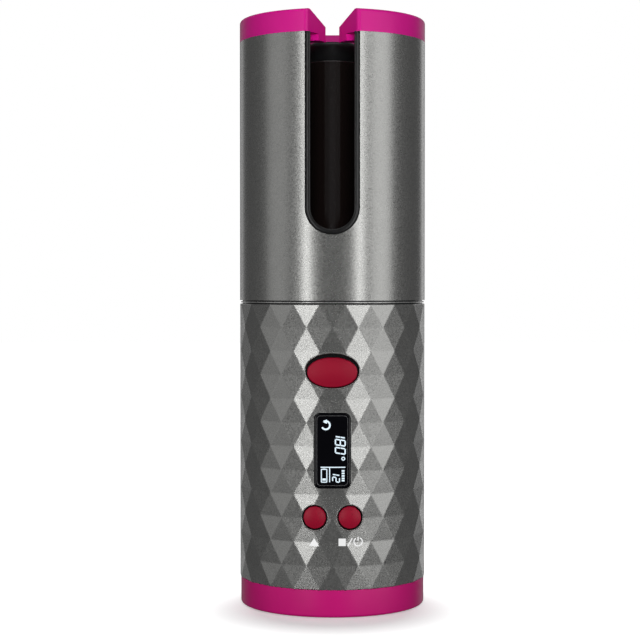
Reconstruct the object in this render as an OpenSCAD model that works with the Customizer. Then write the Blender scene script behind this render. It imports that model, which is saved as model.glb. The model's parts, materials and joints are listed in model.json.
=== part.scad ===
// Cordless automatic hair curler.
// A faceted handle holds the battery, board, buttons and display. Above it a slotted head
// holds a fixed heated rod inside a drum that turns and winds the hair round the rod.
// Millimetres. The origin is the centre of the foot, +Z is up, and buttons and slot face -Y.

/* [Body] */
// Outer diameter of handle and head
body_d = 62; // [56:0.5:76]
// Height of the coloured base cap
base_h = 9; // [8:0.5:12]
// Height of the faceted handle
handle_h = 91.5; // [88:0.5:120]
// Height of the ring between handle and head
ring_h = 0.8; // [0.6:0.1:1.6]
// Height of the smooth head shell
head_h = 86; // [74:0.5:110]
// Height of the coloured top cap
cap_h = 7.3; // [6.5:0.1:10]
// Wall of the handle shells, from the facets' corners to the bore
handle_wall = 2.7; // [2.2:0.1:3.2]
// Wall of the head shell
head_wall = 2.2; // [1.8:0.1:3]

/* [Facets] */
// Rows of half diamonds up the handle
facet_rows = 12; // [8:2:16]
// Diamonds from the front centre to the parting line
facet_columns = 5; // [4:1:6]
// How much the diamonds widen towards the parting line
facet_spread = 0.1; // [0:0.02:0.12]

/* [Hair slot] */
// Width of the slot in the head shell
slot_w = 17.6; // [15:0.2:21.2]
// Height of the slot's round end above the bottom of the head shell
slot_end = 21.2; // [18:0.2:26]
// Wall of the black frame that lines the slot
frame_wall = 1.65; // [1.2:0.05:2.2]
// Set-back of the frame's front from the shell's surface
frame_setback = 0.55; // [0.2:0.05:1]

/* [Winding chamber] */
// Diameter of the heated rod
rod_d = 18; // [15:0.5:21.5]
// Room between the rod and the drum
chamber_gap = 8.3; // [7:0.1:9]
// Wall of the winding drum
drum_wall = 2; // [1.5:0.1:2.2]
// Running room between the drum and its liner
drum_gap = 0.7; // [0.5:0.1:1]
// Wall of the liner sleeve
liner_wall = 1.6; // [1.2:0.1:2]
// Wall of the rod's tube
rod_wall = 1.5; // [1:0.1:2]

/* [Top cap] */
// Width of the notch at the cap's outside
notch_w = 14.3; // [12:0.1:17]
// Width of the notch where it opens into the chamber
throat_w = 4.2; // [4.2:0.1:7]
// Depth of the dish in the cap's top
dish_depth = 4.5; // [2:0.1:5]

/* [Buttons] */
// Width of the oval start button
start_w = 16.4; // [13:0.1:19.7]
// Height of the oval start button
start_h = 10.3; // [8.5:0.1:12.4]
// Start button's centre above the handle's bottom edge
start_up = 69.9; // [66:0.1:72]
// Diameter of the two round buttons
round_d = 7.2; // [6:0.1:8.7]
// Distance between the round buttons' centres
round_pitch = 11.2; // [10.9:0.1:13]
// Round buttons' centre above the handle's bottom edge
round_up = 23.2; // [21:0.1:24]
// Gap round each button
button_gap = 0.5; // [0.3:0.05:0.6]
// How far a button travels
button_travel = 0.5; // [0.3:0.05:0.6]

/* [Display] */
// Width of the display window
window_w = 11.7; // [9.8:0.1:14]
// Height of the display window
window_h = 24.1; // [20:0.1:25]
// Window's centre above the handle's bottom edge
window_up = 44.65; // [43:0.05:46]

/* [Drive] */
// Module of the two gears
gear_module = 0.8; // [0.8:0.01:0.84]
// Teeth on the drum's gear
drum_teeth = 34; // [33:1:35]
// Teeth on the motor's pinion
pinion_teeth = 12; // [12:1:13]
// Diameter of the motor and its gearbox
motor_d = 16; // [13:0.5:17]
// Length of the motor
motor_len = 25; // [18:0.5:27]
// Length of the gearbox
gearbox_len = 12; // [9:0.5:14]
// Direction of the motor from the body's axis, in degrees
motor_turn = -20; // [-24:1:-16]

/* [Power and boards] */
// Diameter of a battery cell
cell_d = 18.4; // [17:0.1:18.8]
// Length of a battery cell
cell_len = 65; // [50:0.5:68]
// Width of the main board
board_w = 34; // [33:0.5:35]
// Height of the main board
board_h = 68; // [67:0.5:69]
// Thickness of the main board
board_t = 1.6; // [1.2:0.1:1.8]

/* [Fits] */
// Gap between fixed pieces that fit into each other
fit = 0.1; // [0.05:0.01:0.15]
// Radial play of a running shaft
play = 0.05; // [0.02:0.01:0.08]

/* [Hidden] */
$fn = 72;

eps = 0.01;

// Radii of the shells
body_r = body_d / 2;
handle_bore = body_r - handle_wall;
head_bore = body_r - head_wall;
base_r = body_r - 0.3;
spigot_r = handle_bore - 2 * fit;
rim_r = head_bore - 2 * fit;
rim_inner = spigot_r - 1.8;

// Levels up the body
foot_proud = 0.5;
handle_z0 = base_h;
handle_z1 = handle_z0 + handle_h;
head_z0 = handle_z1 + ring_h;
head_z1 = head_z0 + head_h;
total_h = head_z1 + cap_h;
floor_top = foot_proud + 2.4;
plate_z0 = base_h + 4;
plate_z1 = plate_z0 + 2;
deck_z1 = handle_z1 - 1.5;
deck_z0 = deck_z1 - 3;

// Gears
pressure_angle = 25;
tooth_play = 0.16;
drum_pitch_r = gear_module * drum_teeth / 2;
pinion_pitch_r = gear_module * pinion_teeth / 2;
gear_distance = drum_pitch_r + pinion_pitch_r;
motor_x = gear_distance * cos(motor_turn);
motor_y = gear_distance * sin(motor_turn);
motor_r = motor_d / 2;
shaft_r = 1.5;

// Levels and radii of the winding head
rod_r = rod_d / 2;
rod_bore = rod_r - rod_wall;
column_r = rod_r - 0.5;
bush_wall = 1.25;
hub_bore = column_r + play + bush_wall + play;
hub_r = hub_bore + 1.35;
drum_inner = rod_r + chamber_gap;
drum_r = drum_inner + drum_wall;
liner_inner = drum_r + drum_gap;
liner_r = liner_inner + liner_wall;
flange_z1 = deck_z1 + 2.8;
hub_z0 = flange_z1 + 0.2;
gear_z0 = hub_z0 + 0.5;
gear_t = 5;
rim_z1 = gear_z0 + gear_t + 2;
liner_flange_t = 2;
drum_z0 = rim_z1 + 1.5;
drum_floor_t = 2.4;
collar_z0 = drum_z0 + drum_floor_t + 0.5;
rod_z0 = collar_z0 + 2.6;
drum_z1 = head_z1 - 3.3;
liner_z1 = head_z1 - 2.6;
rod_z1 = head_z1 - 6.6;
tip_z1 = rod_z1 + 6.3;
slot_r = slot_w / 2;
slot_z = head_z0 + slot_end + slot_r;
frame_r = slot_r - fit;
opening_r = frame_r - frame_wall;
frame_front = body_r - frame_setback;

// Top cap
skirt_z0 = head_z1 - 2.1;
frame_z1 = head_z1 - fit;
rib_wall = 1.4;
cap_opening_r = drum_inner + 1.2;
skirt_r = cap_opening_r + 5.2;

// Buttons, display and boards behind the handle's front
board_y0 = -(handle_bore - 7.5);
board_y1 = board_y0 + board_t;
board_z0 = plate_z1 + 5;
board_z1 = board_z0 + board_h;
start_z = handle_z0 + start_up;
round_z = handle_z0 + round_up;
round_x = round_pitch / 2;
window_z = handle_z0 + window_up;
flange_y = board_y0 - 4.4;
flange_rim = 1.1;
flange_r = handle_bore - 0.3;
plunger_y0 = flange_y + fit / 2;
switch_h = 3.4;
plunger_r = 1.7;
switch_w = 6;
panel_t = 1.4;
panel_w = 19.3;
panel_h = 26.7;
panel_y1 = board_y0 - 4;
screw_x = board_w / 2 - 2;
screw_z = [board_z0 + 4, board_z1 - 4];
rail_w = 4;

// Battery
cell_r = cell_d / 2;
cell_x = cell_r + 0.3;
holder_y0 = motor_y + motor_r + 0.4;
cell_y = holder_y0 + 1.6 + cell_r;
tab_t = 0.3;
cell_z0 = plate_z1 + tab_t;
cell_z1 = cell_z0 + cell_len;

// Charging socket and its board
socket_w = 8.9;
socket_t = 3.3;
socket_z0 = foot_proud + 0.9;
charge_z0 = base_h + 0.8;
charge_t = 1.2;
post_x = 8;
base_screw_ring = body_r - 14.5;
base_screw_turns = [90, 210, 330];
liner_screw_ring = rim_inner - 1;
liner_screw_turns = [60, 180, 300];
column_screw_ring = 12;
column_screw_turns = [40, 160, 280];
magnet_ring = drum_pitch_r + gear_module + 0.85;

// Colours
grey = [0.47, 0.47, 0.46];
magenta = [0.72, 0.09, 0.45];
crimson = [0.58, 0.07, 0.18];
black = [0.06, 0.06, 0.065];
ivory = [0.86, 0.85, 0.8];
board_green = [0.08, 0.33, 0.2];
steel = [0.7, 0.71, 0.73];
brass = [0.78, 0.62, 0.3];
copper = [0.75, 0.42, 0.25];

// ---- Shared shapes ----

// Ring with inner radius a and outer radius b, from z0 to z1
module ring(a, b, z0, z1) {
    difference() {
        translate([0, 0, z0]) cylinder(r = b, h = z1 - z0);
        translate([0, 0, z0 - 1]) cylinder(r = a, h = z1 - z0 + 2);
    }
}

// Solid disc or rod of radius r at (x, y), from z0 to z1
module disc(r, z0, z1, x = 0, y = 0) {
    translate([x, y, z0]) cylinder(r = r, h = z1 - z0);
}

// Places its children at angle a on a circle of radius r
module on_ring(r, a) {
    rotate([0, 0, a]) translate([r, 0, 0]) children();
}

// Turns a shape drawn in X and Z so that it runs along Y from y0 to y1
module front_slab(y0, y1) {
    translate([0, y1, 0]) rotate([90, 0, 0]) linear_extrude(height = y1 - y0) children();
}

// Oval of half width a and half height b, a shade fuller than an ellipse
function fuller(v) = sign(v) * pow(abs(v), 0.943);
module oval(a, b) {
    steps = 60;
    polygon([
        for (i = [0 : steps - 1]) let (turn = 360 * (i + 0.5) / steps)
            [a * fuller(cos(turn)), b * fuller(sin(turn))]
    ]);
}

// Rectangle w by h with corners of radius r
module round_rect(w, h, r) {
    square([w - 2 * r, h], center = true);
    square([w, h - 2 * r], center = true);
    for (x = [-1, 1], y = [-1, 1])
        translate([x * (w / 2 - r), y * (h / 2 - r)]) circle(r = r, $fn = 32);
}

// Slot outline of half width r: round below z, straight up to z1
module slot_outline(r, z, z1) {
    translate([0, z]) circle(r = r);
    translate([-r, z]) square([2 * r, z1 - z]);
}

// Countersunk-free pan screw along Z: head of radius head_r below z, shank up to z1
module pan_screw(head_r, head_h, shank_r, z, z1) {
    disc(head_r, z - head_h, z);
    disc(shank_r, z - eps, z1);
}

// Points of a tube of radius r along a path, one ring of n points for each path point
function unit(v) = v / norm(v);
function along(path, i) =
    unit(path[min(i + 1, len(path) - 1)] - path[max(i - 1, 0)]);
function side_of(d) = unit(cross(d, abs(d[0]) < 0.8 ? [1, 0, 0] : [0, 0, 1]));
function ring_points(c, d, r, n) = [
    for (k = [0 : n - 1])
        c + r * (cos(360 * k / n) * side_of(d) + sin(360 * k / n) * cross(d, side_of(d)))
];

// Smooth point at t between the middle two of four control points
function spline(a, b, c, d, t) = 0.5 * (2 * b + (c - a) * t
    + (2 * a - 5 * b + 4 * c - d) * t * t + (3 * b - a - 3 * c + d) * t * t * t);
function smooth(p, steps) = concat([
    for (i = [0 : len(p) - 2], s = [0 : steps - 1])
        spline(p[max(i - 1, 0)], p[i], p[i + 1], p[min(i + 2, len(p) - 1)], s / steps)
], [p[len(p) - 1]]);

// Wire of radius r along a list of control points
module wire(points, r, n = 6) {
    path = smooth(points, 4);
    last = len(path) - 1;
    rings = [for (i = [0 : last]) each ring_points(path[i], along(path, i), r, n)];
    sides = [
        for (i = [0 : last - 1], k = [0 : n - 1]) each [
            [i * n + k, (i + 1) * n + k, i * n + (k + 1) % n],
            [i * n + (k + 1) % n, (i + 1) * n + k, (i + 1) * n + (k + 1) % n]
        ]
    ];
    ends = [[for (k = [0 : n - 1]) k], [for (k = [n - 1 : -1 : 0]) last * n + k]];
    polyhedron(points = rings, faces = concat(sides, ends));
}

// ---- Gears ----

// Involute function in degrees
function involute(a) = tan(a) * 180 / PI - a;
// Half angle of a tooth at radius r, for a gear of n teeth
function tooth_half(r, n) = 90 / n - tooth_play / (gear_module * n) * 90 / PI
    + involute(pressure_angle)
    - involute(acos(min(1, gear_module * n / 2 * cos(pressure_angle) / r)));
function polar(r, a) = [r * cos(a), r * sin(a)];
function tooth_radii(n) = [
    let (pitch = gear_module * n / 2, low = max(pitch * cos(pressure_angle), pitch - 1.25 * gear_module))
        for (s = [0 : 4]) low + (pitch + gear_module - low) * s / 4
];
function gear_points(n, start) = [
    for (i = [0 : n - 1])
        let (mid = start + 360 * i / n, radii = tooth_radii(n), root = gear_module * (n / 2 - 1.25))
            each concat(
                [polar(min(root, radii[0]) - 0.02, mid - tooth_half(radii[0], n))],
                [for (r = radii) polar(r, mid - tooth_half(r, n))],
                [for (k = [4 : -1 : 0]) polar(radii[k], mid + tooth_half(radii[k], n))],
                [polar(min(root, radii[0]) - 0.02, mid + tooth_half(radii[0], n))]
            )
];

// Spur gear of n teeth with a bore, one tooth centred on angle start
module gear(n, start, bore, z0, z1) {
    difference() {
        translate([0, 0, z0]) linear_extrude(height = z1 - z0) polygon(gear_points(n, start));
        disc(bore, z0 - 1, z1 + 1);
    }
}

// ---- Base ----

module foot_ring() {
    color(black) ring(base_r - 8.7, base_r - 3.7, 0, foot_proud + 0.8);
}

module base_cap() {
    edge = 1.8;
    color(magenta) difference() {
        rotate_extrude($fn = 180) difference() {
            union() {
                translate([0, foot_proud]) square([base_r - edge, edge]);
                translate([0, foot_proud + edge]) square([base_r, base_h - foot_proud - edge]);
                translate([base_r - edge, foot_proud + edge]) circle(r = edge);
                square([spigot_r, plate_z0]);
            }
            translate([0, floor_top]) square([spigot_r - 1.6, plate_z0]);
            translate([0, floor_top]) square([base_r - 2.2, base_h - 2 - floor_top]);
            translate([-base_r, -1]) square([base_r, plate_z0 + 2]);
            translate([-1, -1]) square([base_r + 2, 1 + foot_proud]);
            translate([base_r - 8.7 - fit, 0]) square([5 + 2 * fit, foot_proud + 0.8]);
        }
        translate([0, 0, -1]) linear_extrude(height = 6)
            round_rect(socket_w + 0.5, socket_t + 0.4, (socket_t + 0.4) / 2 - eps);
        for (a = base_screw_turns) on_ring(base_screw_ring, a) {
            disc(2.5, -1, foot_proud + 1.6);
            disc(1.3, 0, floor_top + 1);
        }
    }
    color(magenta) for (side = [-1, 1]) disc(1.5, floor_top, charge_z0, side * post_x);
}

module base_screws() {
    head_z1 = foot_proud + 1.6;
    color(steel) for (a = base_screw_turns) on_ring(base_screw_ring, a)
        difference() {
            pan_screw(2.4, 1.4, 1.2, head_z1, plate_z1 - 1);
            translate([0, 0, head_z1 - 1.4]) {
                cube([2.6, 0.6, 1.4], center = true);
                cube([0.6, 2.6, 1.4], center = true);
            }
        }
}

module charging_socket() {
    color(steel) {
        difference() {
            translate([0, 0, socket_z0]) linear_extrude(height = charge_z0 - socket_z0)
                round_rect(socket_w, socket_t, socket_t / 2 - eps);
            translate([0, 0, socket_z0 - 1]) linear_extrude(height = 7)
                round_rect(socket_w - 0.6, socket_t - 0.6, socket_t / 2 - 0.3 - eps);
        }
        translate([-3.3, -0.35, socket_z0 + 1]) cube([6.6, 0.7, 5]);
    }
}

module charging_board() {
    color(board_green) translate([-10, -7, charge_z0]) cube([20, 14, charge_t]);
    color(black) translate([2.5, -5.5, charge_z0 + charge_t]) cube([5, 4, 1]);
    color(brass) translate([-7, 1.5, charge_z0 + charge_t]) cube([4, 4, 0.9]);
}

// ---- Handle ----

// Angle of facet corner k, counted from the front centre
function facet_angle(k) = k * (90 - facet_spread * pow(facet_columns, 3)) / facet_columns
    + facet_spread * pow(k, 3);
function facet_level(j) = handle_z0 + handle_h * j / facet_rows;
// Corner numbers of row j: whole on odd rows, halves between the two ends on even rows
function facet_row(j) = j % 2 == 1
    ? [for (k = [-facet_columns : facet_columns]) k]
    : concat([-facet_columns], [for (k = [-facet_columns : facet_columns - 1]) k + 0.5],
        [facet_columns]);
function row_start(j) = j * (2 * facet_columns + 1) + ceil(j / 2);
function row_size(j) = j % 2 == 1 ? 2 * facet_columns + 1 : 2 * facet_columns + 2;
// Triangles between row j and the row above it; few is the row of whole numbers
function band(j) =
    let (few = j % 2 == 1 ? row_start(j) : row_start(j + 1),
         many = j % 2 == 1 ? row_start(j + 1) : row_start(j),
         n = 2 * facet_columns + 1,
         faces = concat(
             [for (i = [0 : n - 2]) [few + i, few + i + 1, many + i + 1]],
             [for (i = [0 : n - 1]) [many + i + 1, many + i, few + i]]))
    j % 2 == 1 ? [for (f = faces) [f[2], f[1], f[0]]] : faces;

// Half of the handle's outer form: diamond facets in front and a flat face at the parting line
module faceted_half() {
    points = [
        for (j = [0 : facet_rows], k = facet_row(j))
            [body_r * sin(facet_angle(k)), -body_r * cos(facet_angle(k)), facet_level(j)]
    ];
    top = row_start(facet_rows);
    faces = concat(
        [for (j = [0 : facet_rows - 1]) each band(j)],
        [[for (i = [0 : row_size(0) - 1]) i]],
        [[for (i = [row_size(facet_rows) - 1 : -1 : 0]) top + i]],
        [for (j = [0 : facet_rows - 1]) [row_start(j) + row_size(j) - 1,
            row_start(j + 1) + row_size(j + 1) - 1, row_start(j + 1), row_start(j)]]
    );
    polyhedron(points = points, faces = faces);
}

module handle_half() {
    difference() {
        faceted_half();
        disc(handle_bore, handle_z0 - 1, handle_z1 + 1);
    }
}

module handle_front_shell() {
    color(grey) difference() {
        handle_half();
        front_slab(-body_r - 1, -handle_bore / 2) {
            translate([0, start_z]) oval(start_w / 2 + button_gap, start_h / 2 + button_gap);
            for (side = [-1, 1])
                translate([side * round_x, round_z]) circle(r = round_d / 2 + button_gap);
            translate([0, window_z]) round_rect(window_w + 2 * fit, window_h + 2 * fit, 2);
        }
    }
}

module handle_rear_shell() {
    color(grey) rotate([0, 0, 180]) handle_half();
}

module joint_ring() {
    fin = 0.34;
    color(grey) {
        ring(rim_r + 0.3, body_r - 0.7, handle_z1, head_z0);
        ring(body_r - 0.9, body_r - 0.25, (handle_z1 + head_z0 - fin) / 2, (handle_z1 + head_z0 + fin) / 2);
    }
}

// ---- Buttons and display ----

// Key with a domed front and a flange that follows the bore; the outline is its child
module key(x, z, front, dome_r, rim) {
    intersection() {
        front_slab(-body_r, flange_y) translate([x, z]) children(0);
        translate([x, dome_r - front, z]) sphere(r = dome_r, $fn = 120);
    }
    intersection() {
        front_slab(-body_r, flange_y) translate([x, z]) children(1);
        disc(flange_r, z - 20, z + 20);
        translate([x - 20, -body_r, z - 20]) cube([40, body_r + flange_y, 40]);
    }
}

module start_button() {
    color(crimson) key(0, start_z, body_r - 0.15, 30) {
        oval(start_w / 2, start_h / 2);
        oval(start_w / 2 + flange_rim, start_h / 2 + flange_rim);
    }
}

module round_button(side) {
    color(crimson) key(side * round_x, round_z, body_r - 0.45, 9) {
        circle(r = round_d / 2);
        circle(r = round_d / 2 + flange_rim);
    }
}

module up_button() {
    round_button(-1);
}

module power_button() {
    round_button(1);
}

// Plunger of a button's switch, from the button's flange into the switch
module plunger(x, z) {
    color(black) front_slab(plunger_y0, board_y0 - switch_h + 0.3)
        translate([x, z]) circle(r = plunger_r, $fn = 48);
}

module start_plunger() {
    plunger(0, start_z);
}

module up_plunger() {
    plunger(-round_x, round_z);
}

module power_plunger() {
    plunger(round_x, round_z);
}

module button_switches() {
    well = 0.3 + button_travel + 0.4;
    color(steel) for (p = [[0, start_z], [-round_x, round_z], [round_x, round_z]])
        difference() {
            front_slab(board_y0 - switch_h, board_y0)
                translate(p) square([switch_w, switch_w], center = true);
            front_slab(board_y0 - switch_h - 1, board_y0 - switch_h + well)
                translate(p) circle(r = plunger_r + 0.15, $fn = 48);
        }
}

module display_window() {
    color(black) intersection() {
        union() {
            front_slab(-body_r, flange_y - 1.2)
                translate([0, window_z]) round_rect(window_w, window_h, 1.9);
            intersection() {
                front_slab(-body_r, flange_y - 1.2)
                    translate([0, window_z]) round_rect(window_w + 3, window_h + 3, 2);
                disc(handle_bore - fit, window_z - 40, window_z + 40);
            }
        }
        translate([0, 0, window_z - 40]) cylinder(r = body_r - 0.55, h = 80, $fn = 180);
    }
}

module display_panel() {
    color([0.1, 0.12, 0.2]) front_slab(panel_y1 - panel_t, panel_y1)
        translate([0, window_z]) square([panel_w, panel_h], center = true);
}

module display_holder() {
    color(ivory) difference() {
        front_slab(panel_y1, board_y0)
            translate([0, window_z]) square([panel_w + 1, panel_h + 1], center = true);
        front_slab(panel_y1 - 1, board_y0 + 1)
            translate([0, window_z]) square([panel_w - 3, panel_h - 3], center = true);
    }
}

// ---- Boards ----

module main_board() {
    color(board_green) difference() {
        translate([-board_w / 2, board_y0, board_z0]) cube([board_w, board_t, board_h]);
        front_slab(board_y0 - 1, board_y1 + 1)
            for (side = [-1, 1], z = screw_z) translate([side * screw_x, z]) circle(r = 1.2, $fn = 32);
    }
}

// Chips, connectors, coil and capacitor on the back of the main board
module board_components() {
    color(black) {
        translate([-7, board_y1, board_z0 + 24]) cube([7, 1.2, 7]);
        translate([2, board_y1, board_z0 + 15]) cube([6, 3, 6]);
        translate([3, board_y1, board_z0 + 28]) cube([4, 1, 5]);
    }
    color(ivory) {
        translate([-11, board_y1, board_z0 + 52]) cube([6, 3.6, 5]);
        translate([-11, board_y1, board_z0 + 3]) cube([6, 3.6, 5]);
        translate([3, board_y1, board_z0 + 36]) cube([6, 3.6, 5]);
        translate([-3, board_y1, board_z0 + 61]) cube([6, 3.6, 5]);
    }
    color(steel) front_slab(board_y1, board_y1 + 3.6) translate([-8, board_z0 + 40]) circle(r = 2.5);
}

module board_screws() {
    color(steel) for (side = [-1, 1], z = screw_z) {
        front_slab(board_y0 - 1.2, board_y0) translate([side * screw_x, z]) circle(r = 1.8, $fn = 32);
        front_slab(board_y0 - eps, board_y1 + 3) translate([side * screw_x, z]) circle(r = 1, $fn = 32);
    }
}

module buzzer() {
    color(black) difference() {
        front_slab(board_y1, board_y1 + 4) translate([0, board_z0 + 8]) circle(r = 4.5);
        front_slab(board_y1 + 2.8, board_y1 + 5) translate([0, board_z0 + 8]) circle(r = 0.9, $fn = 32);
    }
}

// ---- Chassis, battery and wiring ----

module chassis() {
    rail_y1 = board_y1 + rail_w;
    color(ivory) difference() {
        union() {
            disc(spigot_r, deck_z0, deck_z1);
            disc(spigot_r, plate_z0, plate_z1);
            ring(rim_inner, spigot_r, deck_z0, handle_z1);
            ring(rim_inner, rim_r, handle_z1, rim_z1);
            for (side = [-1, 1])
                translate([side * screw_x - rail_w / 2, board_y1 + fit, plate_z0])
                    cube([rail_w, rail_w - fit, deck_z1 - plate_z0]);
            for (a = liner_screw_turns) on_ring(liner_screw_ring, a) disc(2.4, deck_z0, rim_z1);
            for (a = base_screw_turns) on_ring(base_screw_ring, a) disc(3, floor_top, plate_z1);
        }
        for (a = liner_screw_turns) on_ring(liner_screw_ring, a) disc(1.05, rim_z1 - 8, rim_z1 + 1);
        for (a = base_screw_turns) on_ring(base_screw_ring, a) disc(1.25, floor_top - 1, plate_z1 - 0.5);
        for (side = [-1, 1], z = screw_z)
            front_slab(board_y1 - 1, rail_y1 - 0.5) translate([side * screw_x, z]) circle(r = 1.05, $fn = 32);
        disc(4.2, deck_z0 - 1, deck_z1 + 1);
        disc(4.2, plate_z0 - 1, plate_z1 + 1, -8, board_y1 + 9);
        disc(shaft_r + 1.5, deck_z0 - 1, deck_z1 + 1, motor_x, motor_y);
        for (a = column_screw_turns) on_ring(column_screw_ring, a) disc(1.2, deck_z0 - 1, deck_z1 + 1);
        for (side = [-1, 1]) translate([motor_x, motor_y, 0]) rotate([0, 0, motor_turn])
            disc(1.1, deck_z0 - 1, deck_z1 + 1, 0, side * 5.5);
    }
}

module battery_cells() {
    color([0.16, 0.32, 0.55]) for (side = [-1, 1]) {
        disc(cell_r, cell_z0, cell_z1 - 0.8, side * cell_x, cell_y);
        disc(cell_r - 1.2, cell_z1 - 1, cell_z1, side * cell_x, cell_y);
    }
}

module battery_tabs() {
    color(steel) {
        translate([-cell_x - 3.5, cell_y - 3, cell_z0 - tab_t]) cube([2 * cell_x + 7, 6, tab_t]);
        for (side = [-1, 1])
            translate([side * cell_x - 3, cell_y - 3, cell_z1]) cube([6, 6, tab_t]);
    }
}

module battery_holder() {
    color(ivory) difference() {
        translate([-cell_x - cell_r, holder_y0, plate_z1])
            cube([2 * (cell_x + cell_r), 0.62 * cell_r, cell_z1 - plate_z1 - 4]);
        for (side = [-1, 1])
            disc(cell_r + fit, plate_z1 - 1, cell_z1 + 1, side * cell_x, cell_y);
        for (z = [plate_z1 + 8, plate_z1 + 26, plate_z1 + 44])
            translate([-3, holder_y0 - 1, z]) cube([6, 3, 12]);
    }
}

module battery_leads() {
    socket = [-8, board_y1 + 3.9, board_z0 + 54.5];
    color("firebrick") for (side = [-1, 1])
        wire([
            [side * cell_x, cell_y - 1, cell_z1 + tab_t + 0.7], [side * cell_x, cell_y - 4, cell_z1 + 3],
            [side * 4 - 3, cell_y - 12, cell_z1 + 3.5], [side * 1.2 - 8, board_y1 + 9, socket[2] + 7],
            [side * 1.2 - 8, board_y1 + 6, socket[2] + 1], socket + [side * 1.2, 0, 0]
        ], 0.6);
}

module charging_leads() {
    socket = [-8, board_y1 + 3.9, board_z0 + 5.5];
    color("black") for (side = [-1, 1])
        wire([
            [side * 1.2 - 8, -4, charge_z0 + charge_t + 0.8],
            [side * 1.2 - 8, board_y1 + 12.2, charge_z0 + charge_t + 1],
            [side * 1.2 - 8, board_y1 + 9.5, plate_z1 - 0.8], [side * 1.2 - 8, board_y1 + 8, plate_z1 + 3.5],
            socket + [side * 1.2, 2, 0], socket + [side * 1.2, 0, 0]
        ], 0.6);
}

module motor_leads() {
    socket = [6, board_y1 + 3.9, board_z0 + 38.5];
    motor_z0 = deck_z0 - gearbox_len - motor_len;
    color("firebrick") for (side = [-1, 1])
        wire([
            [motor_x - 4, motor_y + side * 1.5, motor_z0 - 0.4], [motor_x - 5, motor_y + side * 1.3, motor_z0 - 3],
            [motor_x - 9, motor_y - 2.5 + side, motor_z0 - 2.5], socket + [side * 1.2, 1.6, 0],
            socket + [side * 1.2, 0, 0]
        ], 0.55);
}

module heater_leads() {
    socket = [0, board_y1 + 3.9, board_z0 + 63.5];
    color([0.9, 0.88, 0.85]) for (side = [-1, 1])
        wire([
            socket + [side * 1.4, 0, 0], socket + [side * 1.4, 4, 0.4], [side * 1.3 - 1.5, -5, deck_z0 - 4],
            [side * 1.2 - 1.5, 0, deck_z0], [side * 1.2 - 1.5, 0, deck_z1 + 4], [side * 1.2 - 1.5, 0, rod_z0]
        ], 0.7);
}

// ---- Drive ----

module motor() {
    z1 = deck_z0 - gearbox_len;
    color(steel) difference() {
        union() {
            disc(motor_r, z1 - motor_len, z1, motor_x, motor_y);
            disc(2.6, z1 - motor_len - 1.2, z1 - motor_len + 1, motor_x, motor_y);
        }
        for (a = [45, 225]) translate([motor_x, motor_y, 0]) on_ring(motor_r - 1.5, a)
            disc(1, z1 - motor_len - 1, z1 - motor_len + 3);
    }
}

module gearbox() {
    color(brass) difference() {
        union() {
            disc(motor_r, deck_z0 - gearbox_len, deck_z0, motor_x, motor_y);
            disc(shaft_r + 1.3, deck_z0 - 1, deck_z0 + 1.8, motor_x, motor_y);
        }
        disc(shaft_r + play, deck_z0 - 8, deck_z0 + 3, motor_x, motor_y);
        for (side = [-1, 1]) translate([motor_x, motor_y, 0]) rotate([0, 0, motor_turn])
            disc(1.05, deck_z0 - 4.5, deck_z0 + 1, 0, side * 5.5);
    }
}

module motor_screws() {
    color(steel) for (side = [-1, 1]) translate([motor_x, motor_y, 0]) rotate([0, 0, motor_turn]) {
        disc(1.8, deck_z1, deck_z1 + 1.2, 0, side * 5.5);
        disc(1, deck_z0 - 4, deck_z1 + eps, 0, side * 5.5);
    }
}

module drive_shaft() {
    color(steel) disc(shaft_r, deck_z0 - 7.7, gear_z0 + gear_t + 0.8, motor_x, motor_y);
}

module drive_pinion() {
    facing = motor_turn + 180;
    color(brass) translate([motor_x, motor_y, 0])
        gear(pinion_teeth, facing + 180 / pinion_teeth, shaft_r + fit / 3, gear_z0, gear_z0 + gear_t);
}

// ---- Winding drum ----

module winding_drum() {
    color(black) difference() {
        union() {
            ring(drum_inner, drum_r, drum_z0, drum_z1);
            ring(hub_bore, drum_r - 0.5, drum_z0, drum_z0 + drum_floor_t);
            ring(hub_bore, hub_r, hub_z0, drum_z0 + drum_floor_t);
        }
        front_slab(-body_r, -rod_r) slot_outline(opening_r, slot_z, total_h);
        disc(1.55, drum_z0 - 1, drum_z0 + 1.5, 0, magnet_ring);
    }
}

module drum_gear() {
    color(ivory) gear(drum_teeth, motor_turn, hub_r + fit / 2, gear_z0, gear_z0 + gear_t);
}

module drum_bush() {
    color(brass) ring(column_r + play, column_r + play + bush_wall, hub_z0, drum_z0 + drum_floor_t);
}

module drum_magnet() {
    color(steel) disc(1.5, drum_z0, drum_z0 + 1.4, 0, magnet_ring);
}

module sensor_board() {
    color(board_green) translate([-3.5, magnet_ring, deck_z1]) cube([7, 1, drum_z0 - deck_z1 - 1]);
}

module hall_sensor() {
    color(black) translate([-2, magnet_ring - 1.2, gear_z0 + gear_t + 0.6])
        cube([4, 1.2, drum_z0 - gear_z0 - gear_t - 1.1]);
}

// ---- Heated rod ----

module rod_base() {
    color([0.55, 0.42, 0.28]) difference() {
        union() {
            disc(14, deck_z1, flange_z1);
            disc(column_r, deck_z1, collar_z0 + 1);
            disc(rod_r, collar_z0, rod_z0);
            disc(rod_bore - fit, collar_z0, rod_z0 + 2.5);
        }
        disc(4.5, deck_z1 - 1, rod_z0 + 3);
        for (a = column_screw_turns) on_ring(column_screw_ring, a) disc(1.05, deck_z1 - 1, flange_z1 - 0.6);
    }
}

module rod_base_screws() {
    color(steel) for (a = column_screw_turns) on_ring(column_screw_ring, a)
        pan_screw(1.9, 1.3, 1, deck_z0, flange_z1 - 0.8);
}

module heater_rod() {
    color([0.1, 0.08, 0.07]) ring(rod_bore, rod_r, rod_z0, rod_z1);
}

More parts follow.
